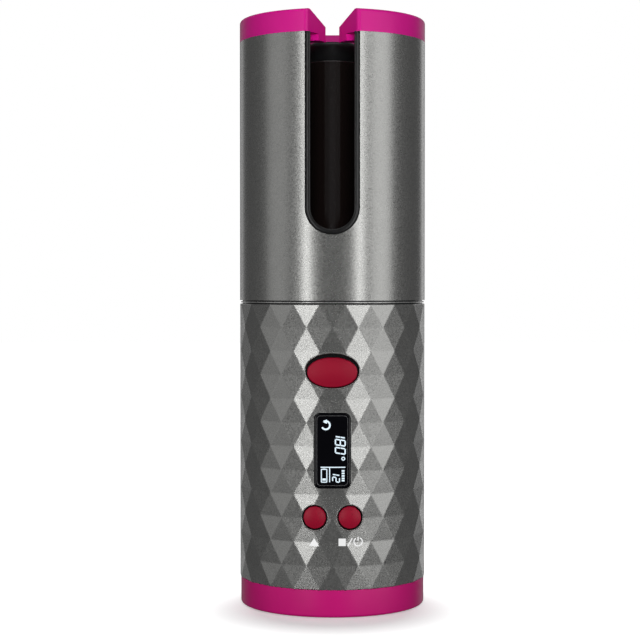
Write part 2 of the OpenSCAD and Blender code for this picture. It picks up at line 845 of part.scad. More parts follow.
heater_z0 = rod_z0 + 2.6;
heater_z1 = rod_z1 - 9;
plate_thick = 2.2;

module heater_plate() {
    color(ivory) translate([-5, -plate_thick / 2, heater_z0])
        cube([10, plate_thick, heater_z1 - heater_z0]);
}

module heat_spreaders() {
    color(steel) difference() {
        disc(rod_bore - fit, heater_z0, heater_z1 - 1);
        translate([-rod_r, -plate_thick / 2 - fit / 2, heater_z0 - 1])
            cube([rod_d, plate_thick + fit, heater_z1 - heater_z0 + 2]);
        disc(0.9, heater_z1 - 7, heater_z1 + 1, 0, 4.5);
    }
}

module thermistor() {
    color("orange") disc(0.8, heater_z1 - 6.8, heater_z1, 0, 4.5);
}

module thermal_fuse() {
    color(steel) disc(1.5, gear_z0, gear_z0 + 9, 2.9, 0);
}

module rod_tip() {
    edge = 1.4;
    color(black) rotate_extrude() {
        translate([0, rod_z1]) square([rod_r - 0.1, tip_z1 - rod_z1 - edge]);
        translate([0, rod_z1]) square([rod_r - 0.1 - edge, tip_z1 - rod_z1]);
        intersection() {
            translate([rod_r - 0.1 - edge, tip_z1 - edge]) circle(r = edge, $fn = 48);
            translate([rod_r - 0.1 - edge, tip_z1 - edge]) square(edge);
        }
        translate([0, rod_z1 - 4]) square([rod_bore - fit, 4.5]);
    }
}

// ---- Head ----

module head_liner() {
    color(black) difference() {
        union() {
            ring(liner_inner, liner_r, rim_z1, liner_z1);
            ring(liner_inner, rim_r, rim_z1, rim_z1 + liner_flange_t);
            intersection() {
                front_slab(-body_r, -liner_inner * 0.9) slot_outline(frame_r, slot_z, frame_z1);
                union() {
                    ring(liner_inner, frame_front, rim_z1, liner_z1);
                    ring(skirt_r + 3 * fit, frame_front, liner_z1 - eps, frame_z1);
                }
            }
        }
        front_slab(-body_r - 1, -rod_r) slot_outline(opening_r, slot_z, total_h);
        for (a = liner_screw_turns) on_ring(liner_screw_ring, a) disc(1.2, rim_z1 - 1, rim_z1 + 5);
    }
}

module liner_screws() {
    top = rim_z1 + liner_flange_t;
    color(steel) for (a = liner_screw_turns) on_ring(liner_screw_ring, a) {
        disc(1.8, top, top + 1.3);
        disc(1, rim_z1 - 7, top + eps);
    }
}

module head_shell() {
    color(grey) difference() {
        translate([0, 0, head_z0]) difference() {
            cylinder(r = body_r, h = head_h, $fn = 180);
            translate([0, 0, -1]) cylinder(r = head_bore, h = head_h + 2, $fn = 180);
        }
        front_slab(-body_r - 1, -rod_r) slot_outline(slot_r, slot_z, total_h);
    }
}

// Cap with a dished top, a short skirt above the chamber and a rib that locates it in the shell
module top_cap() {
    edge = 1.1;
    lip = 1.7;
    corner = 1;
    color(magenta) difference() {
        union() {
            rotate_extrude($fn = 180) {
                difference() {
                    polygon([
                        [cap_opening_r, skirt_z0 + 0.9], [cap_opening_r + 1, skirt_z0],
                        [skirt_r, skirt_z0], [skirt_r, head_z1], [body_r, head_z1],
                        [body_r, total_h - edge], [body_r - edge, total_h], [body_r - lip, total_h],
                        [cap_opening_r + 4.5, total_h - dish_depth + 0.9],
                        [cap_opening_r, total_h - dish_depth]
                    ]);
                    translate([body_r - edge, total_h - edge]) square(edge + 1);
                }
                intersection() {
                    translate([body_r - edge, total_h - edge]) circle(r = edge, $fn = 48);
                    translate([body_r - edge, total_h - edge]) square(edge);
                }
            }
            difference() {
                ring(rim_r - fit - rib_wall, rim_r - fit, skirt_z0, head_z1 + eps);
                front_slab(-body_r - 1, -rod_r) slot_outline(frame_r + 2 * fit, slot_z, total_h);
            }
        }
        translate([0, 0, skirt_z0 - 1]) linear_extrude(height = total_h - skirt_z0 + 2)
            polygon([
                [-notch_w / 2 - corner, -body_r - 1], [-notch_w / 2, -body_r * 0.94],
                [-throat_w / 2, -cap_opening_r - 0.6], [-throat_w / 2, -cap_opening_r + 4],
                [throat_w / 2, -cap_opening_r + 4], [throat_w / 2, -cap_opening_r - 0.6],
                [notch_w / 2, -body_r * 0.94], [notch_w / 2 + corner, -body_r - 1]
            ]);
    }
}

foot_ring();
base_cap();
base_screws();
charging_socket();
charging_board();
handle_front_shell();
handle_rear_shell();
joint_ring();
start_button();
start_plunger();
up_button();
up_plunger();
power_button();
power_plunger();
button_switches();
display_window();
display_panel();
display_holder();
main_board();
board_components();
board_screws();
buzzer();
chassis();
battery_cells();
battery_tabs();
battery_holder();
battery_leads();
charging_leads();
motor_leads();
heater_leads();
motor();
gearbox();
motor_screws();
drive_shaft();
drive_pinion();
winding_drum();
drum_gear();
drum_bush();
drum_magnet();
hall_sensor();
sensor_board();
rod_base();
rod_base_screws();
heater_rod();
heater_plate();
heat_spreaders();
thermistor();
thermal_fuse();
rod_tip();
head_liner();
liner_screws();
head_shell();
top_cap();
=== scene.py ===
# %% [markdown]
# # A cordless automatic hair curler
# The curler stands on its base. Its handle is covered in shallow diamond facets and carries an
# oval start key, a small display and two round keys. The smooth head above it has a tall slot:
# hair is laid into the slot, and a drum inside winds it round a fixed heated rod.
#
# This file builds the finish round a frame of solid parts that is already at its real size.
# Most visible shells are made again here as finer surfaces, because rounded edges and crisp
# facets are what light shows first.

# %% The frame
import json
import math

import bmesh
import bpy
import numpy as np
from mathutils import Matrix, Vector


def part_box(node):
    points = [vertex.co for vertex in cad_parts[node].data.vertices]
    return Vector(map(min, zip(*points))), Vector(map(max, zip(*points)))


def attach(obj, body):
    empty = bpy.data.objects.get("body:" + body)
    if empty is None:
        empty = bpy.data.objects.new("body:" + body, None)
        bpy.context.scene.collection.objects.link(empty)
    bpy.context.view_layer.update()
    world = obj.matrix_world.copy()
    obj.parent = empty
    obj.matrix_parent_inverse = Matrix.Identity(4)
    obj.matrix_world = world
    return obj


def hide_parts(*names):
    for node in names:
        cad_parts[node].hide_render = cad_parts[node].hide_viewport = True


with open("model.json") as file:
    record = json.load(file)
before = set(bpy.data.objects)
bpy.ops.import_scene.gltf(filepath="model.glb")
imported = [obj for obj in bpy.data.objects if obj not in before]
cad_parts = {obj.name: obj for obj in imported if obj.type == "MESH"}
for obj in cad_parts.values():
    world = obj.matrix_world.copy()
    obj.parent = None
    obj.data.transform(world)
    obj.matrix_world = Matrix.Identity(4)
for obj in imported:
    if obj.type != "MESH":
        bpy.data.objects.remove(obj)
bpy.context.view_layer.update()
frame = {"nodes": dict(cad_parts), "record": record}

MM = 0.001
nodes = frame["nodes"]
print("solid parts:", len(nodes))

# %% [markdown]
# ## Sizes
# Everything is worked out from the frame's boxes, in millimetres. Only what a box can't tell,
# such as the slot's width or a corner's radius, is a number of its own.

# %% Sizes


def box_mm(name):
    """Lowest and highest corner of a solid part, in millimetres."""
    low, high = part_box(name)
    return np.array(low) / MM, np.array(high) / MM


head_low, head_high = box_mm("head_shell")
handle_low, handle_high = box_mm("handle_front_shell")
cap_low, cap_high = box_mm("top_cap")
liner_top = box_mm("head_liner")[1][2]
rod_low, rod_high = box_mm("heater_rod")
tip_low, tip_high = box_mm("rod_tip")
base_low, base_high = box_mm("base_cap")
foot_high = box_mm("foot_ring")[1]
start_low, start_high = box_mm("start_button")
up_low, up_high = box_mm("up_button")
window_low, window_high = box_mm("display_window")

body_r = head_high[0]
handle_bottom, handle_top = handle_low[2], handle_high[2]
head_bottom, head_top = head_low[2], head_high[2]
top = cap_high[2]
HANDLE_WALL, HEAD_WALL = 2.7, 2.2
handle_bore = body_r - HANDLE_WALL
head_bore = body_r - HEAD_WALL
slot_half = 8.8  # the slot in the head shell
slot_centre = head_bottom + 21.2 + slot_half  # height of its round end's centre
frame_half = slot_half - 0.1  # the black frame inside the slot
opening_half = frame_half - 1.65
frame_front = body_r - 0.55
joint_ease = 0.2  # how far both shells stand back from the joint ring, for its shadow gaps
print("radius", round(float(body_r), 2), "height", round(float(top), 2))

# %% [markdown]
# ## Camera and light
# A long lens looks at the curler from straight ahead, a little above its middle. Two tall strip
# lights stand either side of the camera, and a metallic cylinder turns each into a bright
# vertical band. A broad soft light on the right, two lights behind for the outline and one above
# complete the set of lights that show in reflections. Two fills give the coloured plastic its
# body and show in none. The room is white to the eye and dim in reflections.

# %% Camera
scene = bpy.context.scene
scene.view_settings.view_transform = "Standard"
camera_data = bpy.data.cameras.new("camera")
camera_data.lens = 94.6
camera_data.clip_start = 0.01
CAMERA_DISTANCE, CAMERA_HEIGHT = 0.566, 0.1065
LOOK_DOWN, LOOK_LEFT = 1.19, 0.42
camera = bpy.data.objects.new("camera", camera_data)
camera.location = (0, -CAMERA_DISTANCE, CAMERA_HEIGHT)
camera.rotation_euler = (math.radians(90 - LOOK_DOWN), 0, math.radians(LOOK_LEFT))
scene.collection.objects.link(camera)
scene.camera = camera

# %% Lights
AIM_HEIGHT = 0.1


def area_light(name, azimuth, distance, height, size, power, fill=False):
    """Rectangle light at an azimuth from the front, in degrees, turned to the curler's axis.

    A fill lights diffuse surfaces only, and any other light shows in reflections only."""
    data = bpy.data.lights.new(name, "AREA")
    data.shape = "RECTANGLE"
    data.size, data.size_y = size
    data.energy = power
    light = bpy.data.objects.new(name, data)
    turn = math.radians(azimuth)
    light.location = (distance * math.sin(turn), -distance * math.cos(turn), height)
    drop = math.atan2(height - AIM_HEIGHT, distance)
    light.rotation_euler = (math.pi / 2 - drop, 0, turn)
    light.visible_diffuse = fill
    light.visible_glossy = not fill
    scene.collection.objects.link(light)


area_light("strip_left", -31, 0.9, 0.22, (0.13, 0.74), 2.1)
area_light("strip_right", 33, 0.9, 0.22, (0.13, 0.74), 1.9)
area_light("broad_right", 62, 0.9, 0.24, (0.44, 0.74), 2.0)
area_light("soft_left", -70, 0.9, 0.24, (0.5, 0.74), 0.8)
area_light("rim_left", -150, 0.8, 0.14, (0.2, 0.8), 0.3)
area_light("rim_right", 150, 0.8, 0.14, (0.2, 0.8), 0.5)
area_light("overhead", 0, 0.25, 0.9, (0.7, 0.5), 1.6)
area_light("fill_front", 2, 0.9, 0.24, (0.3, 0.3), 4.3, fill=True)
area_light("fill_above", 0, 0.3, 0.85, (0.5, 0.4), 0.8, fill=True)

# %% [markdown]
# The world is white where the camera looks past the curler. For every other ray it is a dim
# grey, so that the strips stand out in the paint.

# %% World
world = bpy.data.worlds.new("studio")
world.use_nodes = True
scene.world = world
tree = world.node_tree
tree.nodes.clear()
seen = tree.nodes.new("ShaderNodeLightPath")
room = tree.nodes.new("ShaderNodeMix")
room.data_type = "RGBA"
room.inputs["A"].default_value = (0.135, 0.135, 0.137, 1)
room.inputs["B"].default_value = (1, 1, 1, 1)
sky = tree.nodes.new("ShaderNodeBackground")
world_out = tree.nodes.new("ShaderNodeOutputWorld")
tree.links.new(seen.outputs["Is Camera Ray"], room.inputs["Factor"])
tree.links.new(room.outputs["Result"], sky.inputs["Color"])
tree.links.new(sky.outputs["Background"], world_out.inputs["Surface"])

# %% [markdown]
# ## Shader maths
# `Wire` wraps an output socket, so that a pattern is written as an expression. `Finish` is one
# material: its `node` method adds any node, and `surface` fills in the main shader.

# %% Shader helpers


class Wire:
    """An output socket. Sums, differences and products on it add Math nodes."""

    def __init__(self, finish, socket):
        self.finish, self.socket = finish, socket

    def _math(self, operation, a, b):
        return self.finish.node("ShaderNodeMath", {"operation": operation}, {0: a, 1: b})

    def __add__(self, other):
        return self._math("ADD", self, other)

    __radd__ = __add__

    def __mul__(self, other):
        return self._math("MULTIPLY", self, other)

    __rmul__ = __mul__

    def __sub__(self, other):
        return self._math("SUBTRACT", self, other)

    def __rsub__(self, other):
        return self._math("SUBTRACT", other, self)

    def clip(self, low, high):
        """0 below low, 1 above high and straight between."""
        return self.finish.node(
            "ShaderNodeMapRange", {}, {"Value": self, "From Min": low, "From Max": high}
        )


class Finish:
    """One node-based material with a Principled shader."""

    def __init__(self, name):
        self.material = bpy.data.materials.new(name)
        self.material.use_nodes = True
        self.tree = self.material.node_tree
        self.tree.nodes.clear()
        self.shader = self.tree.nodes.new("ShaderNodeBsdfPrincipled")
        out = self.tree.nodes.new("ShaderNodeOutputMaterial")
        self.tree.links.new(self.shader.outputs[0], out.inputs["Surface"])
        self.place = self.node("ShaderNodeTexCoord", {}, {}, "Object")

    def node(self, kind, settings, sockets, output=0):
        """Adds a node, sets it up, then fills its sockets with values or wires."""
        made = self.tree.nodes.new(kind)
        for key, value in settings.items():
            setattr(made, key, value)
        for key, value in sockets.items():
            if isinstance(value, Wire):
                self.tree.links.new(value.socket, made.inputs[key])
            else:
                made.inputs[key].default_value = value
        return Wire(self, made.outputs[output])

    def noise(self, size, detail=2.0, roughness=0.5):
        """Noise between 0 and 1 whose grains are about size millimetres across."""
        return self.node(
            "ShaderNodeTexNoise",
            {},
            {"Vector": self.place, "Scale": 1 / (size * MM), "Detail": detail, "Roughness": roughness},
        )

    def cells(self, size, output="Distance"):
        """Voronoi cells about size millimetres across."""
        return self.node(
            "ShaderNodeTexVoronoi", {}, {"Vector": self.place, "Scale": 1 / (size * MM)}, output
        )

    def mix(self, amount, a, b):
        """Colour a where amount is 0 and colour b where it is 1."""
        return self.node(
            "ShaderNodeMix", {"data_type": "RGBA"}, {"Factor": amount, "A": a, "B": b}, "Result"
        )

    def bump(self, height, strength, depth, under=None):
        """Normal of a relief depth millimetres deep."""
        sockets = {"Height": height, "Strength": strength, "Distance": depth * MM}
        if under is not None:
            sockets["Normal"] = under
        return self.node("ShaderNodeBump", {}, sockets, "Normal")

    def surface(self, **values):
        """Sets sockets of the main shader; an underscore stands for a space."""
        for key, value in values.items():
            socket = self.shader.inputs[key.replace("_", " ")]
            if isinstance(value, Wire):
                self.tree.links.new(value.socket, socket)
            else:
                socket.default_value = value
        return self


def rgb(red, green, blue):
    """Colour from display values between 0 and 255."""
    shown = (red, green, blue)
    return tuple(((v / 255 + 0.055) / 1.055) ** 2.4 if v > 10 else v / 3295 for v in shown) + (1,)


# %% [markdown]
# ## Finishes
# The shells are sprayed with a metallic grey: fine flakes glint at slightly different angles,
# so both brightness and normal vary from grain to grain, under a thin clear coat.

# %% Grey metallic paint


def metallic_paint(name, base, rough):
    """Sprayed metallic grey with fine flakes, a soft orange peel and a clear coat."""
    paint = Finish(name)
    flakes = paint.cells(0.3, "Color")
    glint = paint.node("ShaderNodeSeparateColor", {}, {"Color": flakes}, "Red")
    cloud = paint.noise(0.6, 3.0)
    smear = paint.noise(9, 2.0)
    tone = 0.55 * glint + 0.6 * cloud + 0.25 * smear - 0.2
    dark = tuple(0.78 * v for v in base[:3]) + (1,)
    light = tuple(min(1.0, 1.24 * v) for v in base[:3]) + (1,)
    peel = paint.bump(paint.noise(0.9, 1.0), 0.1, 0.03)
    grain = paint.bump(cloud, 0.4, 0.035, peel)
    return paint.surface(
        Base_Color=paint.mix(tone, dark, light),
        Metallic=0.78,
        Roughness=rough + 0.1 * (cloud - 0.5) + 0.06 * (glint - 0.5),
        Normal=grain,
        Coat_Weight=0.12,
        Coat_Roughness=0.2,
    )


shell_paint = metallic_paint("grey_metallic_paint", rgb(140, 140, 138), 0.29)
ring_paint = metallic_paint("grey_ring_paint", rgb(200, 200, 198), 0.3)

# %% [markdown]
# The magenta caps and the crimson keys are moulded in coloured plastic. Their mould has a fine
# spark-eroded grain, which softens the highlight, and the colour clouds very slightly.

# %% Coloured plastics


def moulded_plastic(name, base, rough, grain_depth, grain_size=0.22, coat=0.0):
    """Coloured plastic from a grained mould."""
    plastic = Finish(name)
    grain = plastic.noise(grain_size, 2.0, 0.6)
    cloud = plastic.noise(14, 2.0)
    scuff = plastic.noise(2.2, 4.0, 0.7).clip(0.56, 0.74)
    dark = tuple(0.86 * v for v in base[:3]) + (1,)
    light = tuple(min(1.0, 1.1 * v + 0.004) for v in base[:3]) + (1,)
    return plastic.surface(
        Base_Color=plastic.mix(0.75 * cloud + 0.25 * grain, dark, light),
        Roughness=rough + 0.1 * (grain - 0.5) + 0.06 * scuff,
        Normal=plastic.bump(grain, 0.25, grain_depth),
        Specular_IOR_Level=0.22,
        Coat_Weight=coat,
        Coat_Roughness=0.25,
    )


cap_plastic = moulded_plastic("magenta_plastic", rgb(240, 12, 156), 0.42, 0.03)
# Painted shade: the base cap gets a darker, less blue copy of the cap's magenta, standing in for the shade
# low down.
base_plastic_painted_shade = moulded_plastic("magenta_base_plastic", rgb(218, 8, 126), 0.44, 0.03)
key_plastic = moulded_plastic("crimson_key_plastic", rgb(168, 4, 46), 0.42, 0.02, 0.3)
black_plastic = moulded_plastic("black_heatproof_plastic", rgb(20, 20, 21), 0.34, 0.03, coat=0.2)
white_nylon = moulded_plastic("natural_nylon", rgb(226, 224, 214), 0.5, 0.02)
brown_plastic = moulded_plastic("brown_heatproof_plastic", rgb(112, 84, 58), 0.6, 0.05, 0.4)
rubber = moulded_plastic("silicone_rubber", rgb(26, 26, 27), 0.72, 0.04, 0.35)
chip_plastic = moulded_plastic("chip_package", rgb(30, 30, 33), 0.55, 0.02)
red_sleeve = moulded_plastic("red_wire_sleeve", rgb(170, 24, 18), 0.45, 0.01)
black_sleeve = moulded_plastic("black_wire_sleeve", rgb(24, 24, 25), 0.45, 0.01)
white_sleeve = moulded_plastic("white_wire_sleeve", rgb(222, 218, 210), 0.6, 0.03, 0.5)
cell_sleeve = moulded_plastic("cell_shrink_sleeve", rgb(38, 92, 160), 0.35, 0.02, 1.5, coat=0.2)

# %% [markdown]
# The rod is aluminium under a glossy brown-black ceramic glaze. Metals share one recipe with
# different colours and brush marks, made by squeezing the pattern along one direction.

# %% Ceramic and metals


def glazed_ceramic(name, base, rough):
    """Fired glaze with faint speckles and a wet gloss."""
    glaze = Finish(name)
    speck = glaze.cells(0.5).clip(0.05, 0.3)
    cloud = glaze.noise(5, 3.0)
    dark = tuple(0.6 * v for v in base[:3]) + (1,)
    return glaze.surface(
        Base_Color=glaze.mix(0.5 * speck + 0.5 * cloud, dark, base),
        Roughness=rough + 0.08 * (cloud - 0.5),
        Normal=glaze.bump(glaze.noise(1.2, 1.0), 0.08, 0.03),
        Coat_Weight=0.5,
        Coat_Roughness=0.12,
    )


def worked_metal(name, base, rough, stretch=(1, 1, 12)):
    """Metal with fine tool marks; the marks run where stretch is small."""
    metal = Finish(name)
    squeezed = metal.node(
        "ShaderNodeMapping", {}, {"Vector": metal.place, "Scale": tuple(900.0 * v for v in stretch)}
    )
    marks = metal.node(
        "ShaderNodeTexNoise", {}, {"Vector": squeezed, "Scale": 1.0, "Detail": 3.0}
    )
    stain = metal.noise(4, 3.0)
    dark = tuple(0.8 * v for v in base[:3]) + (1,)
    return metal.surface(
        Base_Color=metal.mix(0.6 * marks + 0.4 * stain, dark, base),
        Metallic=1.0,
        Roughness=rough + 0.16 * (marks - 0.5) + 0.06 * (stain - 0.5),
        Normal=metal.bump(marks, 0.12, 0.02),
    )


rod_glaze = glazed_ceramic("rod_ceramic_glaze", rgb(24, 18, 17), 0.22)
plate_ceramic = glazed_ceramic("white_heater_ceramic", rgb(232, 228, 216), 0.5)
steel = worked_metal("plated_steel", rgb(190, 192, 196), 0.28)
aluminium = worked_metal("cast_aluminium", rgb(205, 206, 208), 0.42, (1, 1, 1))
brass = worked_metal("turned_brass", rgb(214, 176, 98), 0.3)

# %% [markdown]
# Circuit boards are glass laminate under green solder mask: copper tracks show through as
# slightly lighter, raised lines. The display window is polished smoked plastic. The printed
# signs share the lit segments' recipe, a painted glow on white print, so that they stay white on a bright
# facet.

# %% Boards, window and marks


def circuit_board(name):
    """Green solder mask over a pattern of tracks."""
    board = Finish(name)
    track = board.cells(1.8).clip(0.28, 0.34)
    weave = board.noise(0.3, 2.0)
    return board.surface(
        Base_Color=board.mix(track, rgb(26, 108, 62), rgb(12, 72, 40)),
        Roughness=0.34 + 0.14 * (weave - 0.5),
        Normal=board.bump(1 - track, 0.3, 0.04),
        Coat_Weight=0.3,
    )


def polished_window(name):
    """Near-black plastic with a hard gloss and the faintest haze of fine scratches."""
    window = Finish(name)
    haze = window.noise(1.5, 4.0, 0.7)
    return window.surface(
        Base_Color=window.mix(haze, rgb(4, 4, 8), rgb(8, 8, 13)),
        Roughness=0.08 + 0.05 * haze,
        Normal=window.bump(haze, 0.03, 0.01),
        Specular_IOR_Level=0.12,
    )


def lit_segment(name, glow, strength):
    """Display segment, or white sign with a painted glow: it shines, a little unevenly from dot to dot."""
    light = Finish(name)
    raster = light.noise(0.25, 1.0)
    return light.surface(
        Base_Color=rgb(30, 34, 40),
        Roughness=0.4,
        Emission_Color=light.mix(raster, tuple(0.86 * v for v in glow[:3]) + (1,), glow),
        Emission_Strength=strength,
    )


board_mask = circuit_board("green_circuit_board")
window_gloss = polished_window("smoked_window")
segment_light = lit_segment("lit_segments", rgb(226, 244, 255), 1.15)
# The white signs glow like the segments: a painted glow on white print, though print gives no light.
mark_ink_painted_glow = lit_segment("white_mark_ink", rgb(252, 252, 252), 0.9)
border_print = moulded_plastic("window_border_print", rgb(92, 92, 94), 0.35, 0.01)

finish_of_slot = {
    "grey_paint": shell_paint,
    "magenta_plastic": cap_plastic,
    "crimson_plastic": key_plastic,
    "black_plastic": black_plastic,
    "black_rubber": rubber,
    "window_plastic": window_gloss,
    "display_glass": window_gloss,
    "rod_ceramic": rod_glaze,
    "white_ceramic": plate_ceramic,
    "nylon": white_nylon,
    "heatproof_brown": brown_plastic,
    "steel": steel,
    "aluminium": aluminium,
    "brass": brass,
    "circuit_board": board_mask,
    "chip_black": chip_plastic,
    "cell_sleeve": cell_sleeve,
    "red_wire": red_sleeve,
    "black_wire": black_sleeve,
    "white_wire": white_sleeve,
}
for part in frame["record"]["subparts"]:
    solid = nodes[part["node"]]
    solid.data.materials.clear()
    solid.data.materials.append(finish_of_slot[part["material_slot"]].material)
print("finishes:", len(bpy.data.materials))

# %% [markdown]
# ## Mesh helpers
# A surface is a grid of points. `Skin` joins several grids along their shared edges into one
# closed mesh, welds the doubles and turns its faces outwards.

# %% Mesh helpers


def grid_faces(rows, cols, start):
    """Corner numbers of the squares of a grid whose first point has number start."""
    corner = start + np.arange(rows * cols).reshape(rows, cols)
    return np.stack([corner[:-1, :-1], corner[1:, :-1], corner[1:, 1:], corner[:-1, 1:]], -1).reshape(-1, 4)


class Skin:
    """Grids of points, in millimetres, that are joined into one mesh."""

    def __init__(self):
        self.points, self.faces, self.count = [], [], 0

    def grid(self, points):
        """Adds a grid: an array of rows by columns by three."""
        rows, cols = points.shape[:2]
        self.faces.extend(grid_faces(rows, cols, self.count).tolist())
        self.points.append(points.reshape(-1, 3))
        self.count += rows * cols
        return self

    def build(self, name, finish, smooth=True, weld=0.002):
        """Makes the object: points closer than weld millimetres become one."""
        mesh = bpy.data.meshes.new(name)
        mesh.from_pydata((np.concatenate(self.points) * MM).tolist(), [], self.faces)
        return make_object(mesh, finish, smooth, weld)


def make_object(mesh, finish, smooth=True, weld=0.002):
    """Welds a mesh, turns its faces outwards, gives it a finish and links its object."""
    work = bmesh.new()
    work.from_mesh(mesh)
    bmesh.ops.remove_doubles(work, verts=work.verts, dist=weld * MM)
    bmesh.ops.dissolve_degenerate(work, edges=work.edges, dist=1e-7)
    bmesh.ops.recalc_face_normals(work, faces=work.faces)
    for face in work.faces:
        face.smooth = smooth
    work.to_mesh(mesh)
    work.free()
    mesh.materials.append(finish.material)
    made = bpy.data.objects.new(mesh.name, mesh)
    scene.collection.objects.link(made)
    return made


def round_edges(piece, width, segments=3, angle=35.0):
    """Rounds every edge sharper than angle degrees, width millimetres wide."""
    bevel = piece.modifiers.new("rounded_edges", "BEVEL")
    bevel.width = width * MM
    bevel.segments = segments
    bevel.limit_method = "ANGLE"
    bevel.angle_limit = math.radians(angle)
    bevel.harden_normals = True
    bevel.use_clamp_overlap = True
    return piece


def apply_modifiers(piece):
    """Writes the piece's modifiers into its mesh."""
    graph = bpy.context.evaluated_depsgraph_get()
    finished = bpy.data.meshes.new_from_object(piece.evaluated_get(graph))
    piece.modifiers.clear()
    piece.data = finished
    return piece


def carve(piece, *cutters):
    """Takes the cutters' volumes out of a piece and deletes the cutters."""
    for cutter in cutters:
        cut = piece.modifiers.new("cut", "BOOLEAN")
        cut.operation = "DIFFERENCE"
        cut.solver = "EXACT"
        cut.object = cutter
    apply_modifiers(piece)
    for cutter in cutters:
        bpy.data.objects.remove(cutter)
    return piece


def paint_gap_shade(piece, finish, picks):
    """Second, dark finish as painted shade on the faces whose centres, in millimetres, picks says are deep in
    a gap.
    """
    mesh = piece.data
    mesh.materials.append(finish.material)
    centres = np.empty(3 * len(mesh.polygons))
    mesh.polygons.foreach_get("center", centres)
    mesh.polygons.foreach_set("material_index", picks(centres.reshape(-1, 3) / MM).astype(int))


def settle(piece, body, slot, *replaced):
    """Rides a finished piece on its body and hides the solids that it stands for; slot is not used."""
    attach(piece, body)
    if replaced:
        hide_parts(*replaced)
    print(piece.name, "faces:", len(piece.data.polygons))
    return piece


def fillet(centre_r, centre_z, radius, start, end, steps=6):
    """Points of an arc in a profile, from angle start to angle end in degrees."""
    turn = np.radians(np.linspace(start, end, steps + 1))
    return np.stack([centre_r + radius * np.cos(turn), centre_z + radius * np.sin(turn)], -1)


def lathe(profile, segments=192):
    """Closed grid of a profile of (radius, height) points turned round the Z axis."""
    profile = np.asarray(profile, float)
    turn = np.radians(np.linspace(0, 360, segments + 1))
    r, z = profile[:, :1], profile[:, 1:]
    return np.stack([r * np.sin(turn), -r * np.cos(turn), z + 0 * turn], -1)


def turned(name, profile, finish, segments=192, smooth=True):
    """A lathe-turned piece; the profile's first and last points meet or lie on the axis."""
    return Skin().grid(lathe(profile, segments)).build(name, finish, smooth)


def prism(name, outline, near, far, finish):
    """Straight prism along Y from an outline of (x, z) points, with closed ends."""
    n = len(outline)
    ends = [np.column_stack([outline[:, 0], np.full(n, y), outline[:, 1]]) for y in (near, far)]
    mesh = bpy.data.meshes.new(name)
    following = (np.arange(n) + 1) % n
    sides = np.stack([np.arange(n), following, following + n, np.arange(n) + n], -1).tolist()
    caps = [list(range(n)), list(range(n, 2 * n))]
    mesh.from_pydata((np.concatenate(ends) * MM).tolist(), [], sides + caps)
    return make_object(mesh, finish, False)


# %% [markdown]
# ## The faceted handle
# The diamonds come from corner points that all lie on one cylinder. Rows of corners alternate:
# odd rows have one on the front centre line, even rows are shifted by half a diamond, and the
# columns widen a little towards the parting line between front and rear shell. Straight
# triangles between the rows give ridges along the diagonals and soft valleys along the rows.
# A modelled bevel on each ridge catches the light as a thin bright line, which bump can't do
# as crisply. The holes are cut afterwards, so that their walls stay true.

# %% Facet corners
ROWS = 12
COLUMNS = 5
SPREAD = 0.1
row_height = (handle_top - handle_bottom) / ROWS


def corner_angle(k):
    """Angle of corner k from the front, in radians: a straight share plus a cubic one."""
    return np.radians(k * (90 - SPREAD * COLUMNS**3) / COLUMNS + SPREAD * k**3)


def corner_row(j):
    """The corners of row j as an array of points."""
    whole = np.arange(-COLUMNS, COLUMNS + 1.0)
    halves = np.concatenate([[-COLUMNS], whole[:-1] + 0.5, [COLUMNS]])
    turn = corner_angle(whole if j % 2 else halves)
    level = np.full(len(turn), min(handle_bottom + row_height * j, handle_top - joint_ease))
    return np.column_stack([body_r * np.sin(turn), -body_r * np.cos(turn), level])


corner_rows = [corner_row(j) for j in range(ROWS + 1)]
row_starts = np.cumsum([0] + [len(row) for row in corner_rows])
corners = np.concatenate(corner_rows)


def facet_band(j):
    """Triangles between row j and the one above, as corner numbers."""
    few, many = (j, j + 1) if j % 2 else (j + 1, j)
    few, many = row_starts[few], row_starts[many]
    i, m = np.arange(2 * COLUMNS), np.arange(2 * COLUMNS + 1)
    base_down = np.stack([few + i, few + i + 1, many + i + 1], -1)
    point_down = np.stack([many + m + 1, many + m, few + m], -1)
    return np.concatenate([base_down, point_down])


facets = np.concatenate([facet_band(j) for j in range(ROWS)])
print("facets on each half:", len(facets))


def facet_y(x, z):
    """Y of the faceted front at each (x, z), from the triangle that holds the point."""
    x, z = np.asarray(x, float), np.asarray(z, float)
    y = np.full(x.shape, -body_r, float)
    for a, b, c in corners[facets]:
        area = (b[0] - a[0]) * (c[2] - a[2]) - (c[0] - a[0]) * (b[2] - a[2])
        s = ((x - a[0]) * (c[2] - a[2]) - (c[0] - a[0]) * (z - a[2])) / area
        t = ((b[0] - a[0]) * (z - a[2]) - (x - a[0]) * (b[2] - a[2])) / area
        inside = (s >= -1e-6) & (t >= -1e-6) & (s + t <= 1 + 1e-6)
        y = np.where(inside, a[1] + s * (b[1] - a[1]) + t * (c[1] - a[1]), y)
    return y


# %% Half of the handle's body


def faceted_half(name, turn):
    """Solid half body: facets, flat ends and a flat parting face, turned round Z by turn."""
    ends = [list(range(row_starts[0], row_starts[1])), list(range(row_starts[ROWS], row_starts[ROWS + 1]))]
    parting = [int(row_starts[j]) for j in range(ROWS + 1)]
    parting += [int(row_starts[j + 1]) - 1 for j in range(ROWS, -1, -1)]
    spin = np.array([[math.cos(turn), math.sin(turn), 0], [-math.sin(turn), math.cos(turn), 0], [0, 0, 1]])
    mesh = bpy.data.meshes.new(name)
    mesh.from_pydata(((corners @ spin) * MM).tolist(), [], facets.tolist() + ends + [parting])
    half = make_object(mesh, shell_paint, False)
    round_edges(half, 0.2, 2, 3.0)
    half.modifiers[0].harden_normals = False
    return apply_modifiers(half)


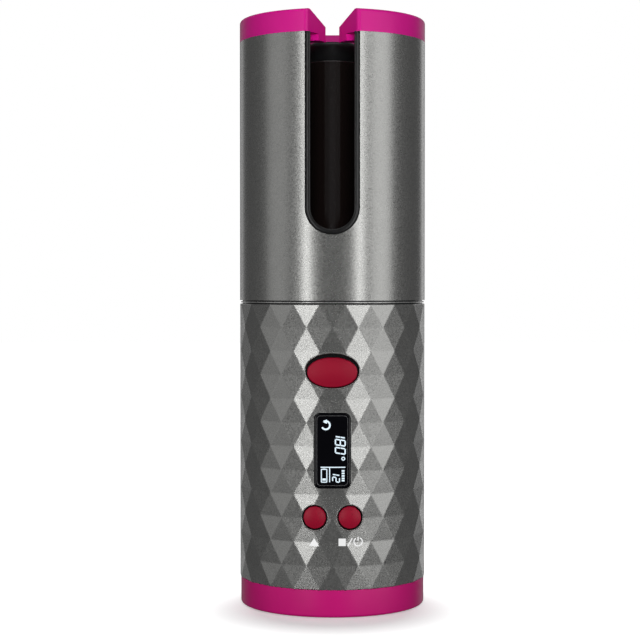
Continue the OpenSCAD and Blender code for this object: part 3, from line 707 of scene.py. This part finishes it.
def bore_cutter(radius, low, high):
    """Cylinder that hollows a shell."""
    profile = [(0, low), (radius, low), (radius, high), (0, high)]
    return turned("bore", profile, shell_paint, 256, False)


# %% [markdown]
# Each opening has its own outline. The start key's oval is a superellipse, a shade fuller than
# an ellipse, and the window is a rectangle with round corners.

# %% Outlines of keys and window
KEY_GAP = 0.5
FLANGE = 1.1  # how far a key's flange stands out all round
WINDOW_FLANGE = 1.5
start_centre = (start_low[2] + start_high[2]) / 2
start_half = [(start_high[k] - start_low[k]) / 2 - FLANGE for k in (0, 2)]
round_centre = (up_low[2] + up_high[2]) / 2
round_x = -(up_low[0] + up_high[0]) / 2
round_half = (up_high[2] - up_low[2]) / 2 - FLANGE
window_centre = (window_low[2] + window_high[2]) / 2
window_half = [(window_high[k] - window_low[k]) / 2 - WINDOW_FLANGE for k in (0, 2)]


def oval_outline(half_w, half_h, x=0.0, z=0.0, power=2.12, n=128):
    """Superellipse: |x/w|^p + |z/h|^p = 1."""
    turn = np.radians(np.arange(n) * 360 / n)
    c, s = np.cos(turn), np.sin(turn)
    return np.column_stack([
        x + half_w * np.sign(c) * np.abs(c) ** (2 / power),
        z + half_h * np.sign(s) * np.abs(s) ** (2 / power),
    ])


def panel_outline(half_w, half_h, radius, x=0.0, z=0.0, steps=10):
    """Rectangle with round corners, anticlockwise."""
    arcs = []
    for sx, sz, start in ((1, 1, 0), (-1, 1, 90), (-1, -1, 180), (1, -1, 270)):
        turn = np.radians(np.linspace(start, start + 90, steps + 1))
        arcs.append(np.column_stack([
            x + sx * (half_w - radius) + radius * np.cos(turn),
            z + sz * (half_h - radius) + radius * np.sin(turn),
        ]))
    return np.concatenate(arcs)


start_hole = oval_outline(start_half[0] + KEY_GAP, start_half[1] + KEY_GAP, 0, start_centre + 0.2)
round_holes = [
    oval_outline(round_half + KEY_GAP, round_half + KEY_GAP, side * round_x, round_centre, 2.0)
    for side in (-1, 1)
]
window_hole = panel_outline(window_half[0] + 0.1, window_half[1] + 0.1, 2.0, 0, window_centre)

# %% Front and rear shells
front_shell = faceted_half("front_shell_facets", 0.0)
cutters = [bore_cutter(handle_bore, handle_bottom - 1, handle_top + 1)]
for number, outline in enumerate([start_hole, *round_holes, window_hole]):
    cutters.append(prism(f"hole_{number}", outline, -body_r - 2, -handle_bore / 2, shell_paint))
settle(carve(front_shell, *cutters), "housing", "grey_paint", "handle_front_shell")

rear_shell = faceted_half("rear_shell_facets", math.pi)
rear_bore = bore_cutter(handle_bore, handle_bottom - 1, handle_top + 1)
settle(carve(rear_shell, rear_bore), "housing", "grey_paint", "handle_rear_shell")

# %% [markdown]
# The rim of each opening is rounded. A thin bead that follows the rim over the facets is the
# simplest way to round an edge that climbs and falls with them: a circle carried along the
# outline, its centre just inside the material.

# %% Rounded rims


def carried(path, across, out, profile):
    """Grid of a closed profile of (across, out) offsets carried along a closed path."""
    p = np.concatenate([profile, profile[:1]])
    grid = path[:, None] + across[:, None] * p[None, :, :1] + out[:, None] * p[None, :, 1:]
    return np.concatenate([grid, grid[:1]])


def circle_profile(radius, n=10):
    """Points of a circle as (across, out) offsets."""
    turn = np.radians(np.arange(n) * 360 / n)
    return radius * np.column_stack([np.cos(turn), np.sin(turn)])


def outward(outline):
    """Unit normals of a closed outline, pointing away from its middle."""
    along = np.roll(outline, -1, 0) - np.roll(outline, 1, 0)
    normal = np.column_stack([along[:, 1], -along[:, 0]])
    normal /= np.linalg.norm(normal, axis=1, keepdims=True)
    away = np.sum(normal * (outline - outline.mean(0)), 1, keepdims=True)
    return normal * np.sign(away)


def finer(outline, step=0.3):
    """The same outline with points at most step apart."""
    closed = np.concatenate([outline, outline[:1]])
    length = np.concatenate([[0], np.cumsum(np.linalg.norm(np.diff(closed, axis=0), axis=1))])
    marks = np.linspace(0, length[-1], int(length[-1] / step) + 1)[:-1]
    return np.column_stack([np.interp(marks, length, closed[:, k]) for k in (0, 1)])


def rim_bead(name, outline, radius=0.2):
    """Bead along a hole's rim, its middle 0.6 of its radius inside both faces of the corner."""
    outline = finer(outline)
    normal = outward(outline)
    centre = outline + 0.6 * radius * normal
    depth = facet_y(centre[:, 0], centre[:, 1]) + 0.6 * radius
    path = np.column_stack([centre[:, 0], depth, centre[:, 1]])
    across = np.column_stack([normal[:, 0], 0 * depth, normal[:, 1]])
    out = np.tile([0.0, -1.0, 0.0], (len(path), 1))
    bead = Skin().grid(carried(path, across, out, circle_profile(radius))).build(name, shell_paint)
    return settle(bead, "housing", "grey_paint")


rim_bead("start_key_rim", start_hole)
rim_bead("up_key_rim", round_holes[0])
rim_bead("power_key_rim", round_holes[1])
rim_bead("window_rim", window_hole, 0.1)

# %% [markdown]
# ## Keys
# A key is a domed cap: rings of its outline shrink towards the middle while the height follows
# a shallow bowl, and the outer rings follow a quarter circle for the rounded edge. Behind the
# shell a wider flange keeps it in. Below the rounded edge a key is painted black, as painted shade for the
# gap round it.

# %% Keys


def domed_key(name, outline, body, replaced, apex, drop, edge, front, back):
    """Closed grid: front pole, dome rings, rounded edge, wall, flange and back pole.

    The flange lies between the Y values front and back."""
    middle = outline.mean(0)
    arm = outline - middle
    size = np.linalg.norm(arm, axis=1).min()
    inner = 1 - edge / size
    rings = []
    for share in np.linspace(0, 1, 10):
        rings.append((inner * share, apex - drop * (share**2)))
    for turn in np.radians(np.linspace(12, 90, 7)):
        rings.append((inner + (1 - inner) * math.sin(turn), apex - drop - edge * (1 - math.cos(turn))))
    brim = 1 + FLANGE / size
    rings += [(1, -front), (brim, -front), (brim, -back), (0, -back)]
    scale = np.array([r[0] for r in rings])[:, None, None]
    depth = -np.array([r[1] for r in rings])[:, None]
    spread = middle + scale * arm[None]
    closed = np.concatenate([spread, spread[:, :1]], 1)
    y = np.broadcast_to(depth, closed.shape[:2])
    key = Skin().grid(np.stack([closed[..., 0], y, closed[..., 1]], -1)).build(name, key_plastic)
    key.data.set_sharp_from_angle(angle=math.radians(50))
    # Painted shade: the key's wall and flange below its rounded edge get black plastic, standing in for the
    # gap's shadow.
    paint_gap_shade(key, black_plastic, lambda at: at[:, 1] > 0.05 - (apex - drop - edge))
    return settle(key, body, "crimson_plastic", replaced)


def flange_front(reach):
    """Y of a flange's front that reaches out to x = reach, clear of the bore behind the shell."""
    return -math.sqrt((handle_bore - 0.3) ** 2 - reach**2)


key_back = start_high[1]
domed_key(
    "start_key_cap", oval_outline(start_half[0] - 0.15, start_half[1] - 0.35, 0, start_centre - 0.3),
    "start_key", "start_button", body_r - 0.6, 0.75, 0.45, flange_front(start_half[0] + FLANGE), key_back,
)
for side, word in ((-1, "up"), (1, "power")):
    domed_key(
        f"{word}_key_cap", oval_outline(round_half, round_half, side * round_x, round_centre, 2.0, 96),
        f"{word}_key", f"{word}_button", body_r - 0.55, 0.6, 0.4,
        flange_front(round_x + round_half + FLANGE), key_back,
    )

# %% [markdown]
# ## Display
# The window is a smoked lens that follows the body's curve, with a printed border line just
# inside its edge. Under it the display shows a turning arrow, 180 degrees, a battery and a
# timer with plain bars. Each sign is a thin lit film that lies on the lens's curve.

# %% Window
lens_r = body_r - 0.55


def lens_y(x, lift=0.0):
    """Y of the window's curved front at x, lift millimetres in front of it."""
    return -np.sqrt((lens_r + lift) ** 2 - np.asarray(x) ** 2)


def window_lens():
    """Rings of the outline from the middle to the edge, a small rounded edge, wall and back."""
    outline = finer(panel_outline(*window_half, 1.9), 0.5)
    shares = [(s, 0.0) for s in np.linspace(0, 0.97, 14)]
    shares += [(0.97 + 0.03 * math.sin(t), 0.2 * (1 - math.cos(t))) for t in np.radians([30, 60, 90])]
    shares += [(1.0, 2.4), (0.0, 2.4)]
    closed = np.concatenate([outline, outline[:1]])
    grid = np.stack([
        np.column_stack([s * closed[:, 0], lens_y(s * closed[:, 0], -sink), window_centre + s * closed[:, 1]])
        for s, sink in shares
    ])
    lens = Skin().grid(grid).build("window_lens", window_gloss)
    lens.data.set_sharp_from_angle(angle=math.radians(50))
    return settle(lens, "housing", "window_plastic", "display_window")


window_lens()

# %% Border line and films


def film(name, pieces, finish, slot, depth_of, thick=0.02):
    """Thin closed film: each piece is a grid of (x, z) points laid on depth_of(x, z)."""
    skin = Skin()
    for p in pieces:
        x, z = p[..., 0], p[..., 1]
        front = np.stack([x, depth_of(x, z) - thick, z], -1)
        back = np.stack([x, depth_of(x, z) + thick, z], -1)
        skin.grid(front).grid(back)
        for cut in (np.s_[0, :], np.s_[-1, :], np.s_[:, 0], np.s_[:, -1]):
            skin.grid(np.stack([front[cut], back[cut]]))
    made = skin.build(name, finish, False)
    return settle(made, "housing", slot)


def ruled(a, b, across=3):
    """Grid of (x, z) points between two lines of points."""
    a, b = np.asarray(a, float), np.asarray(b, float)
    share = np.linspace(0, 1, across)[:, None, None]
    return a[None] * (1 - share) + b[None] * share


def bar(p, q, half_width, along=4):
    """Straight bar between two points."""
    p, q = np.asarray(p, float), np.asarray(q, float)
    share = np.linspace(0, 1, along)[:, None]
    line = p + (q - p) * share
    side = np.array([-(q - p)[1], (q - p)[0]]) / np.linalg.norm(q - p) * half_width
    return ruled(line - side, line + side)


def arc_band(centre, r0, r1, start, end, steps=24):
    """Part of a ring between two radii, angles in degrees from +X towards +Z."""
    turn = np.radians(np.linspace(start, end, steps + 1))
    ray = np.column_stack([np.cos(turn), np.sin(turn)])
    return ruled(np.asarray(centre) + r0 * ray, np.asarray(centre) + r1 * ray)


FILM_LIFT = 0.012


def on_lens(x, z):
    """Y of a film's middle on the window."""
    return lens_y(x, FILM_LIFT)


EDGE_IN = 0.85
line_half = [half - EDGE_IN for half in window_half]
outer_line = finer(panel_outline(*line_half, 1.25, 0, window_centre), 0.4)
line_normal = outward(outer_line)
closed_line = np.concatenate([outer_line, outer_line[:1]])
closed_normal = np.concatenate([line_normal, line_normal[:1]])
border = ruled(closed_line - 0.14 * closed_normal, closed_line + 0.02 * closed_normal, 2)
film("window_border_line", [border], border_print, "window_plastic", on_lens, 0.012)

# %% [markdown]
# The signs are read with the curler lying on its side: words run down the window. So they are
# drawn in their own frame, with `u` along the reading direction and `v` up the letters, and
# turned once. A digit is seven bars, leaning a little as on a clock.

# %% Signs of the display
SEGMENTS = {0: "abcdef", 1: "bc", 2: "abged", 8: "abcdefg"}


def to_window(points, u0=0.0, v0=0.0):
    """From reading frame (u, v) at (u0, v0) to (x, z) on the window."""
    points = np.asarray(points, float)
    return np.stack([v0 + points[..., 1], window_top - u0 - points[..., 0]], -1)


def digit(number, u0, v0, width, height, stroke, lean=0.16):
    """Seven-bar digit with its lower left corner at (u0, v0)."""
    w, h, m, g = width, height, height / 2, stroke * 0.2
    ends = {
        "a": ((g, h), (w - g, h)), "g": ((g, m), (w - g, m)), "d": ((g, 0), (w - g, 0)),
        "f": ((0, m + g), (0, h - g)), "b": ((w, m + g), (w, h - g)),
        "e": ((0, g), (0, m - g)), "c": ((w, g), (w, m - g)),
    }
    made = []
    for key in SEGMENTS[number]:
        (u1, v1), (u2, v2) = ends[key]
        made.append(to_window(bar((u1 + lean * v1, v1), (u2 + lean * v2, v2), stroke / 2), u0, v0))
    return made


window_top = window_centre + window_half[1]
signs = []
temperature = ((1, 6.9, 0.6), (8, 8.35, 1.75), (0, 10.95, 1.75))
for number, u, width in temperature:
    signs += digit(number, u, 1.0, width, 3.1, 0.42)
degree_ring = arc_band((14.6, 3.5), 0.3, 0.62, 0, 360)
arrow_bow = arc_band((3.9, -2.1), 1.05, 1.6, -60, 210)
arrow_point = ruled([(2.0, -1.75), (2.9, -2.95)], [(3.45, -1.75), (2.9, -2.95)], 4)
long_divider = bar((17.35, -3.75), (17.35, 4.15), 0.16, 12)
short_divider = bar((17.5, -0.85), (22.1, -0.85), 0.15)
signs += [to_window(g) for g in (degree_ring, arrow_bow, arrow_point, long_divider, short_divider)]
battery = [(18.0, -3.5), (22.1, -3.5), (22.1, -1.75), (18.0, -1.75)]
signs += [to_window(bar(p, q, 0.15)) for p, q in zip(battery, battery[1:] + battery[:1])]
signs.append(to_window(bar((20.9, -2.62), (21.6, -2.62), 0.55)))
signs.append(to_window(bar((17.75, -2.62), (17.95, -2.62), 0.4)))
for number, u, width in ((1, 19.2, 0.4), (2, 20.4, 1.4)):
    signs += digit(number, u, 0.1, width, 2.2, 0.36)
signs += [to_window(bar((u, 3.0), (u, 3.9), 0.26)) for u in (18.5, 19.3, 20.1, 20.9, 21.6)]
film("display_signs", signs, segment_light, "display_glass", on_lens, 0.02)

# %% [markdown]
# Below the round keys their signs are printed in white on the facets: a triangle, a square, a
# stroke and the usual sign for on and off. The print is given a painted glow. The film follows the facets
# through `facet_y`.

# %% Printed marks
mark_z = handle_bottom + 15.4


def on_facets(x, z):
    """Y of a film's middle on the facets."""
    return facet_y(x, z) - FILM_LIFT


def sign_side(start, end):
    """Twelve points along one side of a filled sign, with heights from mark_z."""
    return np.linspace((start[0], mark_z + start[1]), (end[0], mark_z + end[1]), 12)


triangle_tip = (-5.8, 1.3)
power_centre = (8.25, mark_z + 0.05)
marks = [
    ruled(sign_side((-7.4, -1.3), triangle_tip), sign_side((-4.2, -1.3), triangle_tip), 12),
    ruled(sign_side((2.0, -1.2), (4.3, -1.2)), sign_side((2.0, 1.2), (4.3, 1.2)), 12),
    bar((4.95, mark_z - 1.25), (6.35, mark_z + 1.25), 0.19, 12),
    arc_band(power_centre, 1.15, 1.52, 122, 418, 40),
    bar((power_centre[0], mark_z + 0.35), (power_centre[0], mark_z + 1.6), 0.2, 8),
]
film("key_marks", marks, mark_ink_painted_glow, "grey_paint", on_facets, 0.02)

# %% [markdown]
# ## Head shell
# The head is a tube with a slot that is open at the top and round at the bottom. Each row of
# the grid runs round the tube from one side of the slot to the other: the slot's half width at
# that height sets where it starts. Below the slot the two ends meet. Rows are set closer in the
# round end, by the cosine of an angle, so that its edge is a smooth arc.

# %% Slotted tube


def slotted_tube(name, inner, outer, low, high, half, centre, finish, columns=192):
    """Tube with a slot towards -Y: half wide on each side, with a round end below centre."""
    turn = np.radians(np.linspace(0, 90, 25))
    below, round_end = np.linspace(low, centre - half, 8)[:-1], centre - half * np.cos(turn)
    z = np.concatenate([below, round_end, np.linspace(centre, high, 16)[1:]])
    width = np.where(z < centre, np.sqrt(np.maximum(half**2 - (centre - z) ** 2, 0)), half)
    slot_row = len(below)
    width[: slot_row + 1] = 0
    share = np.linspace(0, 1, columns + 1)[None]
    shells = []
    for r in (outer, inner):
        start = np.arcsin(width / r)[:, None]
        angle = start + (2 * np.pi - 2 * start) * share
        shells.append(np.stack([-r * np.sin(angle), -r * np.cos(angle), z[:, None] + 0 * angle], -1))
    out, inn = shells
    skin = Skin().grid(out).grid(inn)
    for cut in (np.s_[0, :], np.s_[-1, :], np.s_[slot_row:, 0], np.s_[slot_row:, -1]):
        skin.grid(np.stack([out[cut], inn[cut]]))
    return skin.build(name, finish)


head = slotted_tube(
    "head_tube", head_bore, body_r, head_bottom + joint_ease, head_top, slot_half, slot_centre, shell_paint
)
settle(round_edges(head, 0.2), "housing", "grey_paint", "head_shell")

# %% [markdown]
# The black frame in the slot ends in a rounded lip that catches a fine line of light. It is a
# half ellipse carried along the slot's outline, on the cylinder of the frame's front.

# %% Slot lip


def slot_path(half, high, step=0.6):
    """Open U-shaped path of (x, z) points, with its unit normals towards the outside."""
    straight = int((high - slot_centre) / step)
    turn = np.radians(np.linspace(180, 360, 49))
    down = np.column_stack([np.full(straight, -half), np.linspace(high, slot_centre, straight + 1)[:-1]])
    bend = np.column_stack([half * np.cos(turn), slot_centre + half * np.sin(turn)])
    up = np.column_stack([-down[::-1, 0], down[::-1, 1]])
    normal = np.concatenate([
        np.tile([-1.0, 0.0], (straight, 1)), np.column_stack([np.cos(turn), np.sin(turn)]),
        np.tile([1.0, 0.0], (straight, 1)),
    ])
    return np.concatenate([down, bend, up]), normal


def slot_lip():
    """Half ellipse over the frame's edge, closed underneath and at both ends."""
    half_width = (frame_half - opening_half) / 2
    path, normal = slot_path((frame_half + opening_half) / 2, liner_top)
    turn = np.radians(np.linspace(0, 180, 13))
    across = np.concatenate([half_width * np.cos(turn), [-half_width, half_width, half_width]])
    rise = np.concatenate([0.4 * np.sin(turn), [-0.5, -0.5, 0.0]])
    flat = path[:, None] + normal[:, None] * across[None, :, None]
    y = -np.sqrt(frame_front**2 - flat[..., 0] ** 2) - rise[None]
    grid = np.stack([flat[..., 0], y, flat[..., 1]], -1)
    skin = Skin().grid(grid)
    for end in (grid[0], grid[-1]):
        skin.grid(np.stack([end[:7], end[12:5:-1]]))
    return skin.build("slot_lip", black_plastic)


settle(slot_lip(), "housing", "black_plastic")

# %% [markdown]
# ## Top cap
# The cap closes the head's rim and funnels the hair: its top is dished towards the chamber, and
# a notch in front narrows to a throat. It is a solid between an upper and a lower height, both
# functions of the radius. The notch's half width is a function of the radius too, with a
# rounded corner where the notch meets the outside.

# %% Top cap
throat_half = 2.2
throat_r = body_r - 11.9
mouth_half = 7.2
mouth_r = body_r * 0.94
cap_opening = 18.5
skirt_r = cap_opening + 5.2
dish_low = top - 4.8
RIM_EDGE = 1.1
CORNER = 1.1
INNER_EDGE = 0.6


def cap_top(r):
    """Upper height: a rounded inner lip, the dish, a flat rim and a rounded outer edge."""
    dish = dish_low + (top - dish_low) * (r - cap_opening) / (body_r - 1.9 - cap_opening)
    height = np.minimum(dish, top)
    outer = np.clip((r - (body_r - RIM_EDGE)) / RIM_EDGE, 0, 1)
    inner = np.clip((cap_opening + INNER_EDGE - r) / INNER_EDGE, 0, 1)
    height = height - RIM_EDGE * (1 - np.sqrt(1 - outer**2))
    return height - INNER_EDGE * (1 - np.sqrt(1 - inner**2))


def notch_half(r):
    """Half width of the notch at radius r."""
    wedge = throat_half + (mouth_half - throat_half) * (r - throat_r) / (mouth_r - throat_r)
    corner = np.clip((r - (body_r - CORNER)) / CORNER, 0, 1)
    return np.maximum(wedge, throat_half) + CORNER * (1 - np.sqrt(1 - corner**2))


def top_cap():
    """Upper and lower grid, the inner and outer walls and the two walls of the notch."""
    edge = body_r - RIM_EDGE * (1 - np.sin(np.radians(np.linspace(0, 90, 9))))
    r = np.concatenate([
        cap_opening + INNER_EDGE * (1 - np.cos(np.radians(np.linspace(0, 90, 6)))),
        np.linspace(cap_opening + INNER_EDGE, skirt_r, 22)[1:], [skirt_r],
        np.linspace(skirt_r, body_r - RIM_EDGE, 8)[1:-1], edge,
    ])
    upper = cap_top(r)
    lower = np.full(len(r), cap_low[2])
    step = int(np.flatnonzero(r >= skirt_r - 1e-9)[1])
    lower[step:] = head_top
    start = np.arcsin(notch_half(r) / r)[:, None]
    angle = start + (2 * np.pi - 2 * start) * np.linspace(0, 1, 193)[None]
    x, y = -r[:, None] * np.sin(angle), -r[:, None] * np.cos(angle)
    above = np.stack([x, y, upper[:, None] + 0 * angle], -1)
    below = np.stack([x, y, lower[:, None] + 0 * angle], -1)
    skin = Skin().grid(above).grid(below)
    for cut in (np.s_[0, :], np.s_[-1, :], np.s_[:, 0], np.s_[:, -1]):
        skin.grid(np.stack([above[cut], below[cut]]))
    return skin.build("dished_cap", cap_plastic)


settle(round_edges(top_cap(), 0.22, 3, 40), "housing", "magenta_plastic", "top_cap")

# %% [markdown]
# ## Turned pieces
# The joint ring, base cap, foot, rod and rod tip are all turned: one profile goes round the
# axis. The joint ring has a fine fin between two shadow gaps, whose floors are painted black as painted
# shade.

# %% Joint ring
ring_low, ring_high = box_mm("joint_ring")
fin_r = ring_high[0]
fin_mid = (ring_low[2] + ring_high[2]) / 2
FIN_HALF = 0.2
ring_bottom, ring_top = ring_low[2] - joint_ease, ring_high[2] + joint_ease
gap_floor, ring_back = fin_r - 0.6, fin_r - 1.85
ring_profile = np.concatenate([
    [(ring_back, ring_bottom), (gap_floor, ring_bottom), (gap_floor, fin_mid - FIN_HALF)],
    fillet(fin_r - FIN_HALF, fin_mid, FIN_HALF, -90, 90, 8),
    [(gap_floor, fin_mid + FIN_HALF), (gap_floor, ring_top), (ring_back, ring_top), (ring_back, ring_bottom)],
])
joint_ring = turned("joint_fin", ring_profile, ring_paint)
joint_ring.data.set_sharp_from_angle(angle=math.radians(40))
# Painted shade: the gap floors and the fin's root get black plastic, standing in for the shadow in the gaps.
paint_gap_shade(joint_ring, black_plastic, lambda at: np.hypot(at[:, 0], at[:, 1]) < fin_r - 0.25)
settle(joint_ring, "housing", "grey_paint", "joint_ring")

# %% [markdown]
# The base cap is a cup with a rounded bottom edge. Three screw holes and the charging socket's
# opening are cut into its floor, and a rubber ring sits in a groove.

# %% Base cap and foot
BASE_EDGE = 0.12
base_r = base_high[0]
base_floor = base_low[2]
base_top = head_bottom - ring_high[2] + ring_low[2] - (handle_top - handle_bottom)
foot_in, foot_out = foot_high[0] - 5, foot_high[0]
spigot_r = handle_bore - 0.2
groove_top = foot_high[2]
FLOOR_WALL, SPIGOT_WALL = 2.4, 1.6
spigot_bore = spigot_r - SPIGOT_WALL
inner_floor = base_floor + FLOOR_WALL
base_profile = np.concatenate([
    [(0, base_floor), (foot_in - 0.1, base_floor), (foot_in - 0.1, groove_top)],
    [(foot_out + 0.1, groove_top), (foot_out + 0.1, base_floor)],
    [(foot_out + 0.5, base_floor), (foot_out + 0.8, BASE_EDGE)],
    fillet(base_r - 0.9, BASE_EDGE + 0.9, 0.9, -90, 0, 9),
    fillet(base_r - 0.25, base_top - 0.25, 0.25, 0, 90, 4),
    [(spigot_r, base_top), (spigot_r, base_high[2]), (spigot_bore, base_high[2])],
    [(spigot_bore, inner_floor), (0, inner_floor)],
])
base_cap = turned("base_cup", base_profile, base_plastic_painted_shade)
HEAD_HOLE, SHANK_HOLE = 2.5, 1.3
seat = base_floor + 1.6
well_profile = [(0, -1), (HEAD_HOLE, -1), (HEAD_HOLE, seat), (SHANK_HOLE, seat), (SHANK_HOLE, 5), (0, 5)]
screw_ring = (body_r - 14.5) * MM
cutters = []
for turn in np.radians([90, 210, 330]):
    well = turned("well", well_profile, base_plastic_painted_shade, 48, False)
    well.data.transform(Matrix.Translation((screw_ring * math.cos(turn), screw_ring * math.sin(turn), 0)))
    cutters.append(well)
socket_high = box_mm("charging_socket")[1]
mouth = panel_outline(socket_high[0] + 0.25, socket_high[1] + 0.2, socket_high[1] + 0.19)
mouth_cutter = prism("mouth", mouth, -1, 5, base_plastic_painted_shade)
mouth_cutter.data.transform(Matrix.Rotation(math.radians(90), 4, "X"))
cutters.append(mouth_cutter)
carve(base_cap, *cutters)
base_cap.data.set_sharp_from_angle(angle=math.radians(40))
settle(base_cap, "housing", "magenta_plastic", "base_cap")

foot_profile = np.concatenate([
    fillet(foot_in + 0.4, 0.4, 0.4, 180, 270, 5),
    [(foot_in + 1.6, 0), (foot_in + 1.75, 0.25), (foot_in + 1.9, 0)],
    [(foot_in + 3.1, 0), (foot_in + 3.25, 0.25), (foot_in + 3.4, 0)],
    fillet(foot_out - 0.4, 0.4, 0.4, -90, 0, 5),
    [(foot_out, groove_top), (foot_in, groove_top), (foot_in, 0.4)],
])
foot = turned("foot_pad", foot_profile, rubber)
foot.data.set_sharp_from_angle(angle=math.radians(30))
settle(foot, "housing", "black_rubber", "foot_ring")

# %% [markdown]
# The heated rod is a tube with a slightly rounded shoulder, and its tip is a black cap.

# %% Rod and tip
rod_r = rod_high[0]
rod_profile = np.concatenate([
    [(rod_r - 1.5, rod_low[2]), (rod_r, rod_low[2]), (rod_r, rod_low[2] + 20), (rod_r, rod_high[2] - 20)],
    fillet(rod_r - 0.4, rod_high[2] - 0.4, 0.4, 0, 90, 5),
    [(rod_r - 1.5, rod_high[2]), (rod_r - 1.5, rod_low[2])],
])
rod = turned("glazed_rod", rod_profile, rod_glaze)
rod.data.set_sharp_from_angle(angle=math.radians(40))
settle(rod, "housing", "rod_ceramic", "heater_rod")

tip_r = tip_high[0]
tip_profile = np.concatenate([
    [(0, tip_low[2]), (rod_r - 1.6, tip_low[2]), (rod_r - 1.6, rod_high[2])],
    [(tip_r - 0.25, rod_high[2]), (tip_r, rod_high[2] + 0.3)],
    fillet(tip_r - 1.4, tip_high[2] - 1.4, 1.4, 0, 90, 10),
    fillet(5.2, tip_high[2] + 0.02, 0.35, 180, 360, 6)[::-1],
    [(0, tip_high[2] - 0.05)],
])
tip = turned("rod_tip_cap", tip_profile, black_plastic)
tip.data.set_sharp_from_angle(angle=math.radians(40))
settle(tip, "housing", "black_plastic", "rod_tip")

# %% [markdown]
# ## Floor
# A wide pale sheet carries a painted soft shadow under the base. Its own light fades towards the base,
# and a little ahead of it, where the curler would keep the room's light off.

# %% Floor
floor_mesh = bpy.data.meshes.new("floor")
FLOOR_HALF = 2.5
floor_corners = [(FLOOR_HALF * x, FLOOR_HALF * y, 0) for x, y in ((-1, -1), (1, -1), (1, 1), (-1, 1))]
floor_mesh.from_pydata(floor_corners, [], [(0, 1, 2, 3)])
floor = bpy.data.objects.new("floor", floor_mesh)
scene.collection.objects.link(floor)
floor_finish = Finish("pale_floor")
ahead = floor_finish.node(
    "ShaderNodeVectorMath", {"operation": "ADD"}, {0: floor_finish.place, 1: (0, 0.018, 0)}, "Vector"
)
spread = floor_finish.node("ShaderNodeVectorMath", {"operation": "LENGTH"}, {0: ahead}, "Value")
# Painted shadow: the floor's glow falls to dark grey near the base and a little ahead of it.
glow = floor_finish.mix(spread.clip(0.024, 0.05), (0.26, 0.26, 0.26, 1), (1, 1, 1, 1))
floor_finish.surface(
    Base_Color=floor_finish.mix(floor_finish.noise(60, 3.0), (0.9, 0.9, 0.9, 1), (0.94, 0.94, 0.94, 1)),
    Roughness=0.8,
    Emission_Color=glow,
    Emission_Strength=1.0,
)
floor_mesh.materials.append(floor_finish.material)
floor.visible_shadow = False
floor.visible_diffuse = False
floor.visible_glossy = False
